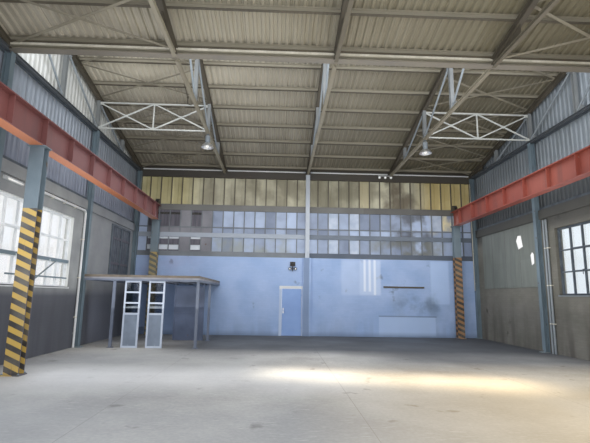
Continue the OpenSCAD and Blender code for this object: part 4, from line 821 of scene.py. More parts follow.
# %% Platform steel and planks
DECK_TOP, DECK_THICK, EDGE_HIGH = 2.2, 0.041, 0.09
PLANK_LONG, PLANK_WIDE, PLANK_GAP = 3.0, 0.2, 0.004
tree, shader, place = new_finish("platform_steel", "platform_paint_and_planks", "#7d8286", 0.7)
xyz = add_node(tree, *SPLIT, Vector=place).outputs
steel = add_node(tree, *MIX, _0=patches(tree, place, 500, 0.36, 0.64), _6="#6a7282", _7="#5c6473")
edge_steel = add_node(tree, *MIX, _0=patches(tree, place, 300, 0.40, 0.60), _6="#8b8c92", _7="#7c7d84")
edge = add_node(tree, *GREATER, _0=xyz["Z"], _1=above_floor(DECK_TOP - EDGE_HIGH))
steel = add_node(tree, *MIX, _0=edge, _6=steel, _7=edge_steel)
# Planks run across the joists; their grain is stretched forty times along them.
plank = add_node(tree, "ShaderNodeTexBrick", {"offset": 0.4}, Vector=place, Scale=1.0, Color1=WHITE,
                 Color2=(0.7, 0.7, 0.7, 1), Mortar=(0.15, 0.15, 0.15, 1), Mortar_Size=PLANK_GAP,
                 Brick_Width=PLANK_LONG, Row_Height=PLANK_WIDE)
grain = patches(tree, add_node(tree, *STRETCH, Vector=place, Scale=(1, 40, 1)), 500, 0.35, 0.65)
wood = add_node(tree, *MIX, _0=grain, _6="#857a6c", _7="#665d52")
wood = add_node(tree, *TINT, _0=1.0, _6=wood, _7=plank.outputs["Color"])
on_top = add_node(tree, *GREATER, _0=xyz["Z"], _1=above_floor(DECK_TOP - DECK_THICK))
connect(shader, Base_Color=add_node(tree, *MIX, _0=on_top, _6=steel, _7=wood))
print("platform:", len(tree.nodes), "nodes")

# %% Spun aluminium, lamp glass and rubber
tree, shader, place = new_finish("spun_aluminium", "spun_aluminium", "#d2d4d6", 0.35, metallic=0.9)
connect(shader, Roughness=add_node(tree, *RANGE, Value=patches(tree, place, 60, 0.40, 0.60), To_Min=0.3, To_Max=0.55))

OPAL = ("#fbfbf8", "#eeeeea")
tree, shader, place, tone = two_tone("opal_lamp_glass", "opal_lamp_glass", OPAL, (40, 0.40, 0.60), 0.25, IOR=GLASS_IOR)
connect(shader, Emission_Color=tone, Emission_Strength=0.35)
two_tone("buffer_rubber", "black_buffer_rubber", ("#2b2a29", "#4b4945"), (50, 0.45, 0.65), 0.8)
print("finishes so far:", len(finishes))

# %% [markdown]
# ## Put the finishes on the construction
#
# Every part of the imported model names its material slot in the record, so a finish that is
# filed under the slot's name finds its parts by itself. A few roof parts share the slot of
# dark steel, but were sprayed each in its own colour, so they are named here.

# %% Assign the slots
OWN_COAT = {"purlins_far": "purlin_steel", "purlins_near": "purlin_steel", "truss_ties": "tie_steel",
            "wind_braces": "brace_steel", "valley_beams": "valley_steel", "lattice_girders": "lattice_paint",
            "truss_posts": "post_paint", "far_eaves_beam": "eaves_steel"}
slot_of = {part["node"]: part["material_slot"] for part in frame["record"]["subparts"]}
coat_of = {name: OWN_COAT.get(name, slot) for name, slot in slot_of.items()}
for name, part in nodes.items():
    part.data.materials.clear()
    part.data.materials.append(finishes[coat_of[name]])
print("dressed", len(coat_of), "parts in", len(set(coat_of.values())), "finishes")

# %% [markdown]
# ## A way to build thin things
#
# What follows are the parts that a fitter adds: bolts, clips, flashings, clamps and handles.
# They are all plates, bars, pipes or turned things, so one small class gathers those four
# forms into one mesh. A hundred bolts then make one piece, not a hundred objects, and each
# piece rides on a body and takes the finish of its material slot, or a finish of its own.


# %% Plates, bars, pipes and turned forms
class Shape:
    """The faces of one piece, in the hall's own metres, with heights counted from its floor."""

    def __init__(self):
        self.mesh = bmesh.new()

    def corner(self, point):
        return self.mesh.verts.new((point[0], point[1], above_floor(point[2])))

    def block(self, corners):
        """Six faces round four corners and the four opposite them."""
        v = [self.corner(point) for point in corners]
        for face in ((3, 2, 1, 0), (4, 5, 6, 7), (0, 1, 5, 4), (1, 2, 6, 5), (2, 3, 7, 6), (3, 0, 4, 7)):
            self.mesh.faces.new([v[i] for i in face])

    def slab(self, corners, lift):
        """A plate of any four corners, as thick as lift."""
        self.block([*corners, *(Vector(corner) + Vector(lift) for corner in corners)])

    def plate(self, one, other):
        """An upright box between two opposite corners."""
        (a, d), (b, e), (c, f) = (sorted(pair) for pair in zip(one, other))
        self.block([(x, y, z) for z in (c, f) for x, y in ((a, b), (d, b), (d, e), (a, e))])

    def bar(self, start, end, width, depth, side=(1, 0, 0)):
        """A straight bar, width along side and depth square to it."""
        start, end, side = Vector(start), Vector(end), Vector(side)
        along = (end - start).normalized()
        side = (side - along * side.dot(along)).normalized() * width / 2
        other = along.cross(side).normalized() * depth / 2
        section = (-side - other, side - other, side + other, -side + other)
        self.block([start + s for s in section] + [end + s for s in section])

    def ring(self, centre, across, up, radius, sides):
        turn = [2 * math.pi * i / sides for i in range(sides)]
        return [self.corner(centre + radius * (math.cos(a) * across + math.sin(a) * up)) for a in turn]

    def skin(self, rings, smooth):
        """Faces from ring to ring, where a ring of one corner is a tip, and a lid on each open end."""
        for below, above in zip(rings, rings[1:]):
            sides = max(len(below), len(above))
            for i in range(sides):
                j = (i + 1) % sides
                if len(below) == 1:
                    corners = [below[0], above[j], above[i]]
                elif len(above) == 1:
                    corners = [below[i], below[j], above[0]]
                else:
                    corners = [below[i], below[j], above[j], above[i]]
                self.mesh.faces.new(corners).smooth = smooth
        for end in (rings[0], rings[-1]):
            if len(end) > 2:
                self.mesh.faces.new(end)

    def turned(self, place, axis, profile, sides=16, smooth=True):
        """A turned form: profile lists distance along the axis and radius, from end to end."""
        axis = Vector(axis).normalized()
        across = axis.orthogonal().normalized()
        up = axis.cross(across)
        rings = []
        for distance, radius in profile:
            centre = Vector(place) + axis * distance
            rings.append(self.ring(centre, across, up, radius, sides) if radius > 0 else [self.corner(centre)])
        self.skin(rings, smooth)

    def pipe(self, points, radius, sides=10):
        """A pipe through the points, with a mitre at each bend."""
        points = [Vector(p) for p in points]
        across = (points[1] - points[0]).orthogonal().normalized()
        rings = []
        for i, point in enumerate(points):
            before = (points[i] - points[i - 1]).normalized() if i else (points[1] - points[0]).normalized()
            after = (points[i + 1] - points[i]).normalized() if i + 1 < len(points) else before
            along = (before + after).normalized()
            across = (across - along * across.dot(along)).normalized()
            rings.append(self.ring(point, across, along.cross(across), radius, sides))
        self.skin(rings, True)

    def bolt(self, place, axis, size):
        """A washer, a hexagon nut size metres across its radius, and the bolt's end."""
        profile = [(-0.001, 1.7 * size), (0.2 * size, 1.7 * size), (0.2 * size, size), (size, size),
                   (size, 0.55 * size), (1.5 * size, 0.5 * size)]
        self.turned(place, axis, profile, sides=6, smooth=False)

    def finish(self, name, slot, body="hall", finish=None):
        """Turns the faces into an object that rides on a body and has its finish."""
        bmesh.ops.recalc_face_normals(self.mesh, faces=self.mesh.faces)
        mesh = bpy.data.meshes.new(name)
        self.mesh.to_mesh(mesh)
        self.mesh.free()
        piece = bpy.data.objects.new(name, mesh)
        scene.collection.objects.link(piece)
        mesh.materials.append(finishes[finish or slot])
        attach(piece, body)
        tally.append(sum(len(face.vertices) - 2 for face in mesh.polygons))
        print(name, tally[-1], "triangles")
        return piece


tally = []

# %% [markdown]
# ## Fixings of the sheets
#
# A profiled sheet is screwed through its crests into each purlin or girt, with a sealing
# washer under the head. The screws are what says "sheet metal" from outside, where rows of
# small dots cross the ribs. They follow the same pitches as the ribs and the purlins.

# %% Roof and wall screws
ROOF_HALF, ROOF_RIBS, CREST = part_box("roof_sheets_far")[1].x, 87, 0.1841
ROOF_PITCH = 2 * ROOF_HALF / ROOF_RIBS
ROOF_SCREW = [(0, 0.022), (0.006, 0.022), (0.006, 0.013), (0.016, 0.010)]
OFF_ROOF = (0, SLOPE, 1)
for tooth, name in enumerate(("roof_screws_far", "roof_screws_near")):
    screws = Shape()
    for run in PURLINS:
        for rib in range(0, ROOF_RIBS, 2):
            spot = on_roof(-ROOF_HALF + (rib + 0.5) * ROOF_PITCH, tooth, run + 0.03, CREST - 0.002)
            screws.turned(spot, OFF_ROOF, ROOF_SCREW, 6, False)
    screws.finish(name, "light_steel")

CLAD_OUT, CLAD_RIBS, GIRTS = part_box("right_cladding")[1].x, 48, (4.645, 5.84, 7.035)
SIDE_SCREW = [(0, 0.02), (0.006, 0.02), (0.006, 0.012), (0.014, 0.009)]
screws = Shape()
for side in (-1, 1):
    for tooth in (0, 1):
        for rib in range(CLAD_RIBS):
            y = WALL_Y - tooth * TOOTH - (rib + 0.5) * TOOTH / CLAD_RIBS
            for height in GIRTS:
                screws.turned((side * (CLAD_OUT - 0.001), y, height), (side, 0, 0), SIDE_SCREW, 6, False)
screws.finish("side_sheet_screws", "light_steel")

# %% [markdown]
# ## Flashings
#
# Where sheets end, a folded strip keeps the rain out: along the verges, over the top edge of
# each roof tooth, on the ledge where the thin side wall stands on the thick masonry, and round
# the building's corners. Each is a strip with two or three folds, so it is drawn as its
# section, run along the edge.

# %% Verge and top edge strips
FOLD, SHEET_END = 0.003, 9.93
verge, top_edge = Shape(), Shape()
for side in (-1, 1):
    for tooth, low in ((0, -0.34), (1, 0.03)):
        for inset, lift, width, depth in ((-0.006, 0.10, FOLD, 0.20), (0.06, 0.195, 0.138, FOLD)):
            x = side * (ROOF_HALF - inset)
            verge.bar(on_roof(x, tooth, low, lift), on_roof(x, tooth, SHEET_END, lift), width, depth)
for tooth in (0, 1):
    top = on_roof(0, tooth, 10.0)
    top_edge.plate((-ROOF_HALF, top.y - 0.015, top.z + 0.07), (ROOF_HALF, top.y - 0.012, top.z + 0.1845))
verge.finish("verge_flashings", "side_sheet", finish="gutter_zinc")
top_edge.finish("top_edge_flashings", "side_sheet", finish="gutter_zinc")

# %% Ledge and corner strips
ledge, corner = Shape(), Shape()
GATE_HALF = 6 * PANEL
for side in (-1, 1):
    inner, outer, end = side * (CLAD_OUT - 0.035), side * (WALL_OUT - 0.002), WALL_Y - 0.01
    ledge.slab([(inner, -end, 4.66), (outer, -end, 4.604), (outer, end, 4.604), (inner, end, 4.66)], (0, 0, FOLD))
for face, spans in ((1, [(-WALL_X, WALL_X)]), (-1, [(-WALL_X, -GATE_HALF), (GATE_HALF, WALL_X)])):
    inner, outer = face * (WALL_Y + 0.119), face * (WALL_BACK - 0.002)
    for x0, x1 in spans:
        ledge.slab([(x0, inner, 3.35), (x1, inner, 3.35), (x1, outer, 3.294), (x0, outer, 3.294)], (0, 0, FOLD))
ledge.finish("ledge_flashings", "side_sheet", finish="gutter_zinc")

for side in (-1, 1):
    for face, top in ((-1, 9.1), (1, 7.25)):
        x_in, x_out = side * (WALL_X - 0.03), side * (CLAD_OUT + 0.004)
        y_in, y_out = face * (WALL_Y - 0.11), face * (WALL_Y + 0.125)
        corner.plate((x_in, y_out, 4.6), (x_out, y_out + face * FOLD, top))
        corner.plate((x_out, y_in, 4.61), (x_out + side * FOLD, y_out, top))
corner.finish("corner_flashings", "side_sheet", finish="side_sheet")

# %% [markdown]
# ## Seats, cleats and bolts of the roof steel
#
# A purlin can't be welded up in the air, so each is held to its rafter by a bolted angle, a
# cleat. Where the trusses' tubes meet their plates there are bolts too. They are too small to
# count in the picture, yet they break the long edges into the rhythm that real steel has.

# %% Purlin cleats
CLEAT_HALF = 0.045
cleats = Shape()
for tooth in (0, 1):
    for x in FRAMES:
        for run in PURLINS[1:]:
            # The angle's upright leg lies on the purlin and its flat leg on the rafter.
            for back, front, high in ((0.008, 0.0, 0.1), (0.08, 0.006, 0.008)):
                legs = ((-CLEAT_HALF, back), (CLEAT_HALF, back), (CLEAT_HALF, front), (-CLEAT_HALF, front))
                cleats.slab([on_roof(x + dx, tooth, run - gap) for dx, gap in legs], (0, 0, high))
            cleats.bolt(on_roof(x, tooth, run - 0.009, 0.06), (0, 1, 0), 0.012)
            cleats.bolt(on_roof(x, tooth, run - 0.045, 0.008), OFF_ROOF, 0.012)
cleats.finish("purlin_cleats", "dark_steel")

# %% Bolts of the trusses and lattice girders
GUSSET_HALF = 0.055
truss_bolts = Shape()
for tooth in (0, 1):
    for x in FRAMES:
        for i, run in enumerate(POSTS):
            near, far = GUSSET_HALF + 0.05, GUSSET_HALF + 0.2
            points = [(run + near, TIE_TOP + 0.045), (run + far, TIE_TOP + 0.045), (run + near, TIE_TOP + 0.13)]
            if i:
                under = RAFTER_TOP + SLOPE * run - RAFTER_DEEP
                points += [(run - near, under - 0.06), (run - far, under - 0.085)]
            for u, z in points:
                for side in (-1, 1):
                    spot = (x + side * 0.004, WALL_Y - tooth * TOOTH - u, z)
                    truss_bolts.bolt(spot, (side, 0, 0), 0.013)
truss_bolts.finish("truss_bolts", "light_steel")

LATTICE_HIGH = RAFTER_TOP + SLOPE * TOOTH / 2 - RAFTER_DEEP - 0.02
LATTICE_STEP = (BAY - 0.008 - 0.15) / 2
lattice_bolts = Shape()
for tooth in (0, 1):
    y = WALL_Y - (tooth + 0.5) * TOOTH
    for middle in (-1.5 * BAY, 1.5 * BAY):
        for i in (-1, 0, 1):
            for z in (TIE_TOP + 0.065, LATTICE_HIGH - 0.065):
                for dx in (-0.045, 0.045):
                    for face in (-1, 1):
                        spot = (middle + i * LATTICE_STEP + dx, y + face * 0.004, z)
                        lattice_bolts.bolt(spot, (0, face, 0), 0.011)
lattice_bolts.finish("lattice_bolts", "light_steel")

# %% [markdown]
# ## Crane runway fittings
#
# The rail is clipped to the girder in pairs, because it must creep lengthwise but not
# sideways. At its ends stand end stops with rubber buffers, and under each column the
# foot plate is held by four anchor bolts in grout.

# %% Rail clips
RUNWAY_TOP, RUNWAY_END = 5.43, WALL_Y - 0.13
CLIPS_HALF, CLIP_STEP, CLIP_HIGH = 14, 0.66, 0.018
clips = Shape()
for side in (-1, 1):
    for i in range(-CLIPS_HALF, CLIPS_HALF + 1):
        for edge in (-1, 1):
            x, y = side * CRANE_X + edge * 0.058, i * CLIP_STEP
            levels = ((0.035, 0.03, RUNWAY_TOP), (0.033, 0.026, RUNWAY_TOP + CLIP_HIGH))
            clips.block([(x + dx * long, y + dy * wide, z) for long, wide, z in levels for dx, dy in AROUND])
            clips.bolt((x + edge * 0.008, y, RUNWAY_TOP + CLIP_HIGH), (0, 0, 1), 0.012)
clips.finish("rail_clips", "red_oxide")

# %% End stops and buffers
RAIL_TOP, STOP_HIGH, CHEEK = RUNWAY_TOP + 0.06, 0.28, 0.02
BUFFER = [(0, 0.06), (0.05, 0.055), (0.09, 0.06), (0.13, 0.045), (0.14, 0)]
stops, buffers = Shape(), Shape()
for side in (-1, 1):
    for face in (-1, 1):
        x, y, top = side * CRANE_X, face * RUNWAY_END, RUNWAY_TOP + STOP_HIGH
        for dx in (-0.07, 0.07):
            outline = ((0.0, RUNWAY_TOP), (0.34, RUNWAY_TOP), (0.14, top), (0.02, top))
            stops.slab([(x + dx - CHEEK / 2, y - face * back, z) for back, z in outline], (CHEEK, 0, 0))
        stops.plate((x - 0.09, y - face * 0.10, RAIL_TOP + 0.05), (x + 0.09, y - face * 0.125, top))
        buffers.turned((x, y - face * 0.12, RAIL_TOP + 0.14), (0, -face, 0), BUFFER, 20)
stops.finish("rail_end_stops", "dark_steel")
buffers.finish("rail_buffers", "dark_steel", finish="buffer_rubber")

# %% Anchor bolts and foot plates
COLUMN_HEAD, FOOT_PLATE = 4.76, 0.016
anchors = Shape()
for side in (-1, 1):
    for y in (WALL_Y - 0.28, 0.0, -WALL_Y + 0.28):
        for dx in (-0.16, 0.16):
            for dy in (-0.12, 0.12):
                for z, up in ((0.02, 1), (COLUMN_HEAD, -1)):
                    anchors.bolt((side * CRANE_X + dx, y + dy, z), (0, 0, up), 0.018)
    for y in (WALL_Y - 0.08, SIDE_BAY, 0.0, -SIDE_BAY, -WALL_Y + 0.08):
        low, high = max(y - 0.13, -WALL_Y + 0.002), min(y + 0.13, WALL_Y - 0.002)
        anchors.plate((side * (WALL_X - 0.002), low, 0.0), (side * (WALL_X - 0.26), high, FOOT_PLATE))
        for dy in (-0.05, 0.05):
            anchors.bolt((side * (WALL_X - 0.22), (low + high) / 2 + dy, FOOT_PLATE), (0, 0, 1), 0.016)
anchors.finish("anchor_plates_and_bolts", "column_paint")

# %% [markdown]
# ## What the windows need
#
# Steel windows have a few panes that open. Each of these vents has its own thin frame inside
# the fixed bars, two hinges and a stay. Outdoors a sloping sill sheds the rain, and indoors a
# painted ledge closes the masonry. The camera sees the ledges as thin pale lines.

# %% Sills, ledges and opening vents of the side windows
WINDOWS = (0.25, 0.25 - SIDE_BAY, 0.25 - 2 * SIDE_BAY)
WINDOW_LONG, WINDOW_LOW = 3.8, 1.8
WALL_MIDDLE = (WALL_X + WALL_OUT) / 2
PANE_RISE, BAR_EDGE = 0.7, 0.06
VENT_WIDE, VENT_DEEP = 0.016, 0.035
HANDLE = [(0, 0.016), (0.012, 0.016), (0.02, 0.009), (0.05, 0.009)]
sills, ledges, vents = Shape(), Shape(), Shape()
for side in (-1, 1):
    for y in WINDOWS:
        y0, y1 = y + 0.002, y + WINDOW_LONG - 0.002
        near, far = side * (WALL_MIDDLE + 0.04), side * (WALL_OUT - 0.003)
        section = ((near, 0.0), (far, 0.0), (far, 0.012), (near, 0.035))
        sills.slab([(x, y0, WINDOW_LOW + rise) for x, rise in section], (0, y1 - y0, 0))
        near, far = side * (WALL_X - 0.02), side * (WALL_MIDDLE - 0.03)
        ledges.plate((near, y0, WINDOW_LOW), (far, y1, WINDOW_LOW + 0.02))
        ledges.plate((near, y0 - 0.04, WINDOW_LOW - 0.03), (near + side * 0.018, y1 + 0.04, WINDOW_LOW + 0.02))
        for column in (1, 4):
            a = y + BAR_EDGE + column * SIDE_PANE - 0.012
            b = a + 2 * SIDE_PANE - 0.016
            low = WINDOW_LOW + BAR_EDGE + PANE_RISE - 0.035
            high, middle = low + PANE_RISE - 0.02, (a + b) / 2
            x = side * (WALL_MIDDLE - 0.038)
            for z in (low, high):
                vents.bar((x, a, z), (x, b, z), VENT_WIDE, VENT_DEEP)
            for edge in (a, b):
                vents.bar((x, edge, low), (x, edge, high), VENT_WIDE, VENT_DEEP)
            vents.turned((x - side * 0.006, middle, low + 0.02), (-side, 0, 0), HANDLE, 12)
            vents.bar((x - side * 0.05, middle, low + 0.03), (x - side * 0.05, middle, low - 0.12), 0.012, 0.018)
            for hinge in (a + 0.12, b - 0.12):
                vents.turned((x - side * 0.012, hinge - 0.035, high), (0, 1, 0), [(0, 0.009), (0.07, 0.009)], 10)
sills.finish("window_sills", "side_sheet", finish="gutter_zinc")
ledges.finish("window_ledges", "white_paint")
vents.finish("opening_vents", "window_steel")

# %% [markdown]
# ## The far wall's patched glazing
#
# At the left end of the far wall the panes are gone in part, and boards and sheets close them,
# with slits of daylight left between. A few panes have been replaced by clear white ones. The
# boards stand in the depth of the bars, just inside the glass, where a fitter would screw them.

# %% Finishes of the boards, the sheets and the new panes
two_tone("stained_board", "smoke_stained_board", ("#6b6972", "#53525a"), (60, 0.35, 0.65), 0.85, stretch=(1, 1, 0.08))
dusty_steel("pane_sheet", "grey_sheet_in_a_pane", "#86868c", "#74747b")
two_tone("milky_glass", "milky_new_glass", ("#d2ddee", "#b5c4da"), (300, 0.35, 0.65), 0.4, Transmission_Weight=0.25)
paint_over("milky_glass", "#eef2f4", 0.7, 0.1, X=(-9, -4))
print("finishes so far:", len(finishes))

# %% Boards, sheets and new panes
ROWS = {"low": (3.505, 4.115), "strip": (4.315, 4.535), "high": (4.585, 5.295)}
HALF_BAR, PANE_THICK = 0.023, 0.012
boards, slits, sheets, new_panes = Shape(), Shape(), Shape(), Shape()


def in_pane(shape, column, low, high, depth=0.05):
    """A plate between two bars of the far wall's glazing, column counted from the left."""
    x, y = -2 * BAY + column * PANEL, WALL_Y + depth
    left = -WALL_X + 0.163 if column == 0 else x + HALF_BAR
    shape.plate((left, y, low), (x + PANEL - HALF_BAR, y + PANE_THICK, high))


for column in (1, 2, 3, 5):
    for low, high in ((4.585, 5.10), (5.20, 5.295), (3.775, 4.03), (3.505, 3.56)):
        in_pane(boards, column, low, high)
    in_pane(slits, column, 5.095, 5.205, depth=0.068)
    in_pane(sheets, column, *ROWS["strip"])
    in_pane(new_panes, column, *ROWS["low"], depth=0.076)
for column in (4, 6):
    for row in ROWS.values():
        in_pane(sheets, column, *row)
for column, row in ((18, "high"), (18, "low"), (20, "high"), (20, "low"), (28, "high")):
    in_pane(new_panes, column, *ROWS[row], depth=0.076)
boards.finish("pane_boards", "window_steel", finish="stained_board")
slits.finish("dark_gaps_over_the_boards", "window_steel", finish="buffer_rubber")
sheets.finish("pane_sheets", "window_steel", finish="pane_sheet")
new_panes.finish("replaced_panes", "window_glass", finish="milky_glass")

# %% Board seams of the closed window on the left
BOARDED_Y, BOARDED_Z, BOARD_WIDE, POST_AT = WALL_Y - 2.6, 2.32, 0.2, 1.0
seams = Shape()
for i in range(1, 9):
    x, y = -WALL_X + 0.016, BOARDED_Y + 0.07 + i * BOARD_WIDE
    if abs(y - (BOARDED_Y + POST_AT)) > 0.06:
        seams.bar((x, y, BOARDED_Z + 0.08), (x, y, BOARDED_Z + 1.82), 0.008, 0.03)
for z in (BOARDED_Z + 0.45, BOARDED_Z + 1.4):
    for y in (BOARDED_Y + 0.075, BOARDED_Y + 1.04):
        seams.bar((-WALL_X + 0.024, y, z), (-WALL_X + 0.024, y + 0.885, z), 0.02, 0.09)
seams.finish("boarded_window_battens", "window_steel", finish="stained_board")

# %% [markdown]
# ## Lamps
#
# A high-bay lamp is a ribbed housing for the ballast and a spun bell under it. From the floor
# the eye sees the bell's open end: a rolled rim, a bright inside and the lamp's opal envelope.
# The plain bells of the model are replaced by turned ones on the same axis and of the same size.

# %% Profiles of a bell lamp
BELL_TOP, CAN_RADIUS, FINS, FIN_STEP = 6.67, 0.083, 7, 0.032
BELL = [(-0.008, 0.0), (-0.008, 0.084), (0.012, 0.100), (0.035, 0.135), (0.068, 0.168), (0.11, 0.192),
        (0.140, 0.203), (0.147, 0.209), (0.150, 0.206), (0.146, 0.200), (0.138, 0.198), (0.108, 0.186),
        (0.068, 0.161), (0.036, 0.128), (0.014, 0.092), (0.006, 0.05), (0.006, 0.0)]
ENVELOPE = [(0, 0.0), (0, 0.022), (0.03, 0.024), (0.05, 0.045),
            (0.09, 0.056), (0.12, 0.050), (0.14, 0.03), (0.146, 0.0)]
HANGER = [(0, 0.03), (0.012, 0.03), (0.02, 0.012), (0.063, 0.012)]
can = [(0, 0.0), (0, CAN_RADIUS)]
for i in range(FINS):
    start = i * FIN_STEP
    can += [(start + 0.02, CAN_RADIUS), (start + 0.024, 0.076), (start + 0.036, 0.076), (start + 0.040, CAN_RADIUS)]
can += [(0.25, CAN_RADIUS), (0.259, 0.07), (0.259, 0.0)]
print("a lamp's housing has", len(can), "rings")

# %% Turn the bell lamps
UP, DOWN = (0, 0, 1), (0, 0, -1)
lamps, bulbs, hangers = Shape(), Shape(), Shape()
for x in (-BAY, BAY):
    for y in (SIDE_BAY, -SIDE_BAY):
        lamps.turned((x, y, BELL_TOP), DOWN, BELL, 48)
        hangers.turned((x, y, BELL_TOP), UP, can, 40)
        hangers.turned((x, y, BELL_TOP + 0.255), UP, HANGER, 20)
        hangers.plate((x - 0.05, y - 0.04, 6.982), (x + 0.05, y + 0.04, 6.99))
        bulbs.turned((x, y, BELL_TOP - 0.004), DOWN, ENVELOPE, 28)
lamp_bells = lamps.finish("lamp_bells", "light_steel", finish="spun_aluminium")
hangers.finish("lamp_housings", "light_steel")
bulbs.finish("lamp_envelopes", "light_steel", finish="opal_lamp_glass")
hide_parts("lamps")

# %% Lampholders and clips of the lighting tubes
TUBE_Y, TUBE_Z, CLIP = WALL_Y - 0.045, 7.11, 0.012
HOLDER = [(-0.03, 0.034), (0.02, 0.034), (0.03, 0.025), (0.05, 0.02)]
holders = Shape()
for before, after in zip(FRAMES, FRAMES[1:]):
    x0, x1 = before + 0.16, after - 0.16
    for x, out in ((x0, -1), (x1, 1)):
        holders.turned((x, TUBE_Y, TUBE_Z), (out, 0, 0), HOLDER, 20)
    for share in (0.25, 0.5, 0.75):
        x = x0 + share * (x1 - x0)
        holders.turned((x - CLIP, TUBE_Y, TUBE_Z), (1, 0, 0), [(0, 0.034), (2 * CLIP, 0.034)], 20)
        holders.plate((x - CLIP, WALL_Y - 0.03, TUBE_Z - 0.008), (x + CLIP, WALL_Y + 0.004, TUBE_Z + 0.008))
holders.finish("tube_holders", "white_paint")

# %% Three small spotlights by the fourth truss
SPOT_X, SPOT_Y, SPOT_Z = 3.46, WALL_Y - 0.06, 7.0
SPOT = [(-0.03, 0.0), (-0.03, 0.03), (0.0, 0.045), (0.08, 0.06), (0.1, 0.062), (0.1, 0.055), (0.07, 0.0)]
SPOT_LENS = [(0, 0.0), (0, 0.05), (0.015, 0.035), (0.02, 0.0)]
spots, lenses = Shape(), Shape()
spots.plate((SPOT_X - 0.3, SPOT_Y, SPOT_Z + 0.03), (SPOT_X + 0.3, WALL_Y - 0.03, SPOT_Z + 0.06))
spots.plate((SPOT_X - 0.03, WALL_Y - 0.03, SPOT_Z + 0.02), (SPOT_X + 0.03, WALL_Y + 0.005, SPOT_Z + 0.07))
for dx in (-0.24, 0.0, 0.24):
    aim, base = Vector((dx, -1, -0.7)).normalized(), Vector((SPOT_X + dx, SPOT_Y, SPOT_Z))
    spots.turned(base, aim, SPOT, 20)
    spots.bar(base + Vector((0, 0.01, 0.0)), base + Vector((0, 0.01, 0.05)), 0.02, 0.02)
    lenses.turned(base + aim * 0.075, aim, SPOT_LENS, 20)
spots.finish("spotlights", "white_paint")
lenses.finish("spotlight_lenses", "white_paint", finish="opal_lamp_glass")

# %% [markdown]
# ## The door
#
# The door is a flush steel leaf with two pressed panels, a lock plate and a kick plate. All of
# that swings with the leaf, so these pieces ride on the door's body and not on the hall's. They
# are thin, because the leaf has to swing clear of its frame and of the pilaster beside it.

# %% Panels, plates and screws on the leaf
LEAF_X0, LEAF_X1, LEAF_THICK = -1.054, -0.226, 0.045
PANEL_X0, PANEL_X1, LOCK_X = LEAF_X0 + 0.13, LEAF_X1 - 0.13, LEAF_X0 + 0.06
panels, plates = Shape(), Shape()
for y, out in ((WALL_Y, -1), (WALL_Y + LEAF_THICK, 1)):
    raised = y + out * 0.002
    for low, high in ((0.32, 0.92), (1.12, 1.84)):
        for z in (low, high):
            panels.bar((PANEL_X0, raised, z), (PANEL_X1, raised, z), 0.004, 0.024, side=(0, 1, 0))
        for x in (PANEL_X0, PANEL_X1):
            panels.bar((x, raised, low - 0.012), (x, raised, high + 0.012), 0.004, 0.024, side=(0, 1, 0))
    panels.plate((LEAF_X0 + 0.03, y, 0.03), (LEAF_X1 - 0.06, raised, 0.23))
    plates.plate((LOCK_X - 0.022, y, 0.93), (LOCK_X + 0.022, y + out * 0.004, 1.15))
    for z, profile, sides in ((1.04, [(0, 0.018), (0.008, 0.018), (0.011, 0.014)], 20),
                              (0.965, [(0, 0.009), (0.004, 0.009), (0.006, 0.006)], 16)):
        plates.turned((LOCK_X, y + out * 0.003, z), (0, out, 0), profile, sides)
    for x in (LEAF_X0 + 0.05, LEAF_X1 - 0.08):
        for z in (0.05, 0.21):
            plates.turned((x, y + out * 0.0015, z), (0, out, 0), [(0, 0.006), (0.002, 0.004)], 10)
panels.finish("door_mouldings", "door_paint", body="door")
plates.finish("door_plates", "door_paint", body="door", finish="spun_aluminium")

# %% Trim round the doorway
DOOR_X0, DOOR_X1, DOOR_TOP, TRIM = -1.11, -0.17, 2.02, 0.06
LEFT_EDGE, RIGHT_EDGE, TRIM_TOP = DOOR_X0 - TRIM, DOOR_X1 + TRIM, DOOR_TOP + TRIM
trim = Shape()
trim.plate((LEFT_EDGE, WALL_Y - 0.012, 0.0), (DOOR_X0 + 0.004, WALL_Y + 0.002, TRIM_TOP))
trim.plate((LEFT_EDGE, WALL_Y - 0.014, DOOR_TOP - 0.004), (DOOR_X1 + 0.004, WALL_Y + 0.002, TRIM_TOP))
for x0, x1, low, proud in ((LEFT_EDGE, DOOR_X0 + 0.002, 0.0, 0.012), (DOOR_X1 - 0.002, RIGHT_EDGE, 0.0, 0.012),
                           (LEFT_EDGE, RIGHT_EDGE, DOOR_TOP - 0.002, 0.014)):
    trim.plate((x0, WALL_BACK - 0.002, low), (x1, WALL_BACK + proud, TRIM_TOP))
trim.finish("doorway_trim", "white_paint")

# %% [markdown]
# ## Things on the far wall
#
# Beside the middle hangs a small emergency light with two heads. Further right a row of hooks
# sits on a batten. They are modest, but the wall is a large plain field, and the eye goes
# straight to the few dark marks on it.

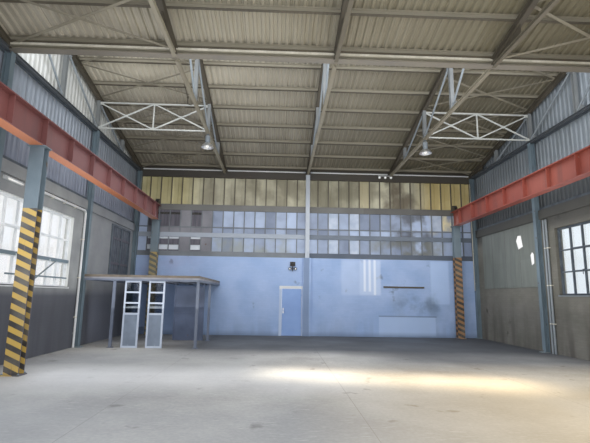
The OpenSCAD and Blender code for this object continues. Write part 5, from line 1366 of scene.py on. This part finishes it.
# %% Emergency light and hook rail
DEVICE_X, DEVICE_Z = -0.62, 2.95
HEAD = [(-0.05, 0.0), (-0.05, 0.03), (0, 0.055), (0.05, 0.062), (0.05, 0.05), (0.03, 0.0)]
HEAD_LENS = [(0, 0.0), (0, 0.049), (0.01, 0.04), (0.016, 0.0)]
device, heads, hooks = Shape(), Shape(), Shape()
device.plate((DEVICE_X - 0.11, WALL_Y - 0.07, DEVICE_Z - 0.02), (DEVICE_X + 0.11, WALL_Y, DEVICE_Z + 0.16))
device.plate((DEVICE_X - 0.02, WALL_Y - 0.05, DEVICE_Z - 0.24), (DEVICE_X + 0.02, WALL_Y - 0.02, DEVICE_Z - 0.02))
for dx in (-0.11, 0.11):
    base, aim = Vector((DEVICE_X + dx, WALL_Y - 0.06, DEVICE_Z - 0.12)), Vector((dx * 3, -1, -0.55)).normalized()
    device.bar((DEVICE_X, WALL_Y - 0.035, DEVICE_Z - 0.1), base, 0.02, 0.02, side=(0, 1, 0))
    device.turned(base, aim, HEAD, 20)
    heads.turned(base + aim * 0.032, aim, HEAD_LENS, 20)
device.finish("emergency_light", "dark_steel", finish="buffer_rubber")
heads.finish("emergency_light_lenses", "white_paint", finish="opal_lamp_glass")

RAIL_X0, RAIL_X1, RAIL_Y, RAIL_Z, HOOKS = 3.32, 5.10, WALL_Y - 0.03, 2.10, 11
HOOK = ((0.005, 0.0), (-0.05, -0.01), (-0.075, 0.005), (-0.085, 0.04))
hooks.plate((RAIL_X0, RAIL_Y, RAIL_Z - 0.035), (RAIL_X1, WALL_Y, RAIL_Z + 0.035))
for i in range(HOOKS):
    x = RAIL_X0 + 0.07 + i * (RAIL_X1 - RAIL_X0 - 0.14) / (HOOKS - 1)
    hooks.pipe([(x, RAIL_Y + dy, RAIL_Z + dz) for dy, dz in HOOK], 0.007, 8)
hooks.finish("hook_rail", "dark_steel")

# %% [markdown]
# ## Screens and platform
#
# Under the platform's edge stand two tall screens: a white frame, a blue-grey board in its
# lower half and three small panes above. The boards and panes are pieces of their own, because
# they are another material. The platform gets a toe board at its edge, and plates where its
# posts are bolted to the floor.

# %% Boards and panes of the screens
STORE_X = -7.32
SCREENS = (STORE_X + 1.27, STORE_X + 2.02)
SCREEN_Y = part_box("store_screens")[0].y
screen_boards, panes = Shape(), Shape()
for x in SCREENS:
    for y0, y1 in ((-0.003, 0.0005), (0.0445, 0.048)):
        screen_boards.plate((x + 0.055, SCREEN_Y + y0, 0.06), (x + 0.445, SCREEN_Y + y1, 1.0))
    for low in (1.06, 1.39, 1.72):
        panes.plate((x + 0.0505, SCREEN_Y + 0.02, low + 0.0005), (x + 0.4495, SCREEN_Y + 0.024, low + 0.2795))

BOARD = ("#7e8a9a", "#6f7a89")
tree, shader, place, tone = two_tone("panel_board", "blue_grey_panel_board", BOARD, (350, 0.35, 0.65), 0.6)
scuffs = patches(tree, down_the_wall(tree, place), 80, 0.68, 0.72, 5)
connect(shader, Base_Color=add_node(tree, *MIX, _0=scuffs, _6=tone, _7="#b9c0c8"))
two_tone("clear_pane", "dusty_clear_pane", ("#a8b3c0", "#8b97a6"), (120, 0.35, 0.65), 0.08, Transmission_Weight=1.0)
screen_boards.finish("screen_boards", "door_paint", finish="panel_board")
panes.finish("screen_panes", "window_glass", finish="clear_pane")

# %% Partition board under the platform
DECK_LOW, DECK_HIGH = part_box("store_platform")
PART_X0, PART_X1, PART_Y, STUD = -5.05, -3.95, DECK_LOW.y + 2.56, 0.04
front, back = PART_Y - 0.022, PART_Y + 0.001
partition = Shape()
partition.plate((PART_X0, PART_Y, 0.0), (PART_X1, PART_Y + 0.018, 1.95))
for x in (PART_X0, PART_X1 - STUD):
    partition.plate((x, front, 0.0), (x + STUD, back, 2.06))
for z in (0.0, 0.95, 1.91):
    partition.plate((PART_X0 + STUD, front, z), (PART_X1 - STUD, back, z + STUD))
dusty_steel("partition_paint", "dark_blue_grey_partition", "#56627a", "#485164")
partition.finish("partition_board", "platform_steel", finish="partition_paint")

# %% Toe board and post plates of the platform
TOE_TOP = DECK_TOP + 0.035
toe = Shape()
toe.plate((DECK_LOW.x + 0.004, DECK_LOW.y + 0.002, DECK_TOP), (DECK_HIGH.x - 0.004, DECK_LOW.y + 0.012, TOE_TOP))
toe.plate((DECK_HIGH.x - 0.012, DECK_LOW.y + 0.012, DECK_TOP), (DECK_HIGH.x - 0.002, WALL_Y - 0.004, TOE_TOP))
for x in (STORE_X + 0.91, DECK_HIGH.x - 0.08):
    for y, before in ((DECK_LOW.y, 0.0), (DECK_LOW.y + 2.45, 0.05)):
        toe.plate((x - 0.05, y - before, 0.0), (x + 0.13, y + 0.13, 0.01))
        toe.plate((x - 0.03, y, 2.04), (x + 0.11, y + 0.11, 2.0499))
        for dx in (-0.025, 0.105):
            toe.bolt((x + dx, y + 0.105, 0.01), (0, 0, 1), 0.012)
toe.finish("platform_trim", "platform_steel")

# %% [markdown]
# ## Pipes, clamps and the wall's small lights
#
# Conduits are held by clamps every metre and a half, and a plain pipe without them looks
# drawn on. On the left wall, above the window, sits a short tube light. Under the far roof a
# thin dark conduit drops from a purlin to the second truss, where a lamp hangs.

# %% Conduit clamps
RISER_Y, PIPE_OFF = WALL_Y - SIDE_BAY - 0.16, 0.05
COLLAR = [(0, 0.039), (0.03, 0.039)]
clamps = Shape()
for z in (0.9, 2.1, 3.3):
    for side, y in ((-1, RISER_Y), (1, RISER_Y - 0.14), (1, RISER_Y - 0.28)):
        x = side * (WALL_X - PIPE_OFF)
        clamps.turned((x, y, z), (0, 0, 1), COLLAR, 20)
        clamps.plate((x, y - 0.055, z), (side * WALL_X, y + 0.055, z + 0.03))
for share in (0.3, 0.55, 0.8):
    x, y = -WALL_X + PIPE_OFF, RISER_Y - 2.9 + share * 2.7
    clamps.turned((x, y, 4.24), (0, 1, 0), COLLAR, 20)
    clamps.plate((-WALL_X, y, 4.185), (x, y + 0.03, 4.295))
clamps.finish("conduit_clamps", "white_paint", finish="gutter_zinc")

# %% Tube light on the left wall
wall_light, wall_tube = Shape(), Shape()
wall_light.plate((-WALL_X, 0.42, 4.17), (-WALL_X + 0.05, 1.12, 4.25))
for y in (0.44, 1.07):
    wall_light.plate((-WALL_X + 0.05, y, 4.16), (-WALL_X + 0.1, y + 0.03, 4.22))
wall_tube.turned((-WALL_X + 0.08, 0.47, 4.19), (0, 1, 0), [(0, 0.0), (0, 0.016), (0.6, 0.016), (0.6, 0.0)], 16)
wall_light.finish("wall_light", "white_paint")
wall_tube.finish("wall_light_tube", "white_paint", finish="opal_lamp_glass")

# %% Thin conduits under the far roof and in the far right corner
CONDUIT_RADIUS = 0.018
conduit, corner = Shape(), Shape()
route = [on_roof(x, 0, run, -0.03) for x, run in ((-4.33, 6.95), (-4.38, 5.9), (-4.42, 4.96))]
for spot in route:
    conduit.bar(spot + Vector((0, 0, -0.01)), spot + Vector((0, 0, 0.06)), 0.06, 0.03)
route += [(-4.43, WALL_Y - 4.86, LATTICE_HIGH + 0.01), (-4.3, WALL_Y - 4.83, LATTICE_HIGH - 0.02)]
conduit.pipe(route, CONDUIT_RADIUS, 10)
conduit.finish("roof_conduit", "dark_steel")

CORNER_X, CORNER_Y = WALL_X - 0.19, WALL_Y - 0.10
corner.pipe([(CORNER_X, CORNER_Y, z) for z in (2.0, 4.4, 6.74)], CONDUIT_RADIUS, 10)
for z in (2.3, 3.6, 4.7, 5.8, 6.6):
    corner.plate((CORNER_X, CORNER_Y - 0.012, z), (WALL_X - 0.16, CORNER_Y + 0.012, z + 0.025))
corner.finish("corner_conduit", "white_paint", finish="gutter_zinc")

# %% Transom rods of the left window beside the camera
ROD_X, TRANSOM_Z = -WALL_X - 0.05, 2.56
rods = Shape()
rods.bar((ROD_X, 1.02, 2.07), (ROD_X, 4.0, 2.07), 0.03, 0.04)
rods.bar((ROD_X, 1.97, 1.83), (ROD_X, 3.36, TRANSOM_Z), 0.025, 0.03)
rods.bar((ROD_X - 0.02, 0.26, TRANSOM_Z), (ROD_X - 0.02, 4.04, TRANSOM_Z), 0.05, 0.09)
rods.finish("left_window_rods", "window_steel", finish="column_paint")

# %% [markdown]
# ## The torn lining and the gateway
#
# The lining of the right wall is three sheets riveted side by side, with a capping strip along
# its top and foot. The gateway's masonry edges wear angle irons up to the height of a lorry's
# mirror, since that is where brick corners get knocked off.

# %% Seams and rivets of the lining
(LINING_X, LINING_Y0, low_z), (_, LINING_Y1, high_z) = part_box("right_sheet_panel")
LINING_LOW, LINING_HIGH = low_z - FLOOR_Z, high_z - FLOOR_Z
RIVET, RIVETS, RIVET_STEP, CAP = [(0, 0.009), (0.004, 0.007), (0.006, 0.0)], 21, 0.1995, 0.05
seam = Shape()
# The second seam is broken by the tear, so it is drawn below and above it.
for share, spans in ((1 / 3, [(0.0, 2.2)]), (2 / 3, [(0.0, 0.76), (1.92, 2.2)])):
    y = LINING_Y0 + share * (LINING_Y1 - LINING_Y0) + 0.25
    for low, high in spans:
        seam.plate((LINING_X - 0.003, y - 0.025, LINING_LOW + low), (LINING_X + 0.001, y + 0.025, LINING_LOW + high))
for z in (LINING_LOW, LINING_HIGH - CAP):
    seam.plate((LINING_X - 0.006, LINING_Y0, z), (LINING_X + 0.001, LINING_Y1, z + CAP))
    for i in range(RIVETS):
        seam.turned((LINING_X - 0.005, LINING_Y0 + 0.05 + i * RIVET_STEP, z + CAP / 2), (-1, 0, 0), RIVET, 10)
seam.finish("lining_seams", "lining_sheet")

# %% Guards of the gateway
GUARD_HIGH, GUARD_LEG = 2.6, 0.08
guards = Shape()
for side in (-1, 1):
    x = side * GATE_HALF
    for front, leg in (((-WALL_Y, -WALL_Y + 0.006), (-WALL_Y + 0.006, -WALL_Y - GUARD_LEG)),
                       ((-WALL_BACK + 0.0005, -WALL_BACK + 0.006), (-WALL_BACK, -WALL_BACK + GUARD_LEG))):
        guards.plate((x - side * 0.005, front[0], 0.0), (x + side * GUARD_LEG, front[1], GUARD_HIGH))
        guards.plate((x - side * 0.006, leg[0], 0.0), (x + side * 0.0005, leg[1], GUARD_HIGH))
guards.finish("gateway_guards", "dark_steel")

# %% [markdown]
# ## Check the size
#
# The dressed hall has to be as large as the imported one, so both boxes are measured and their
# largest difference is printed. The number of triangles is printed too.

# %% Finish
visual_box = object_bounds()
grown = max(abs(a - b) for low, high in zip(cad_box, visual_box) for a, b in zip(low, high))
print("pieces", len(tally), "triangles", sum(tally), "largest change of the box", round(grown, 4), "m")
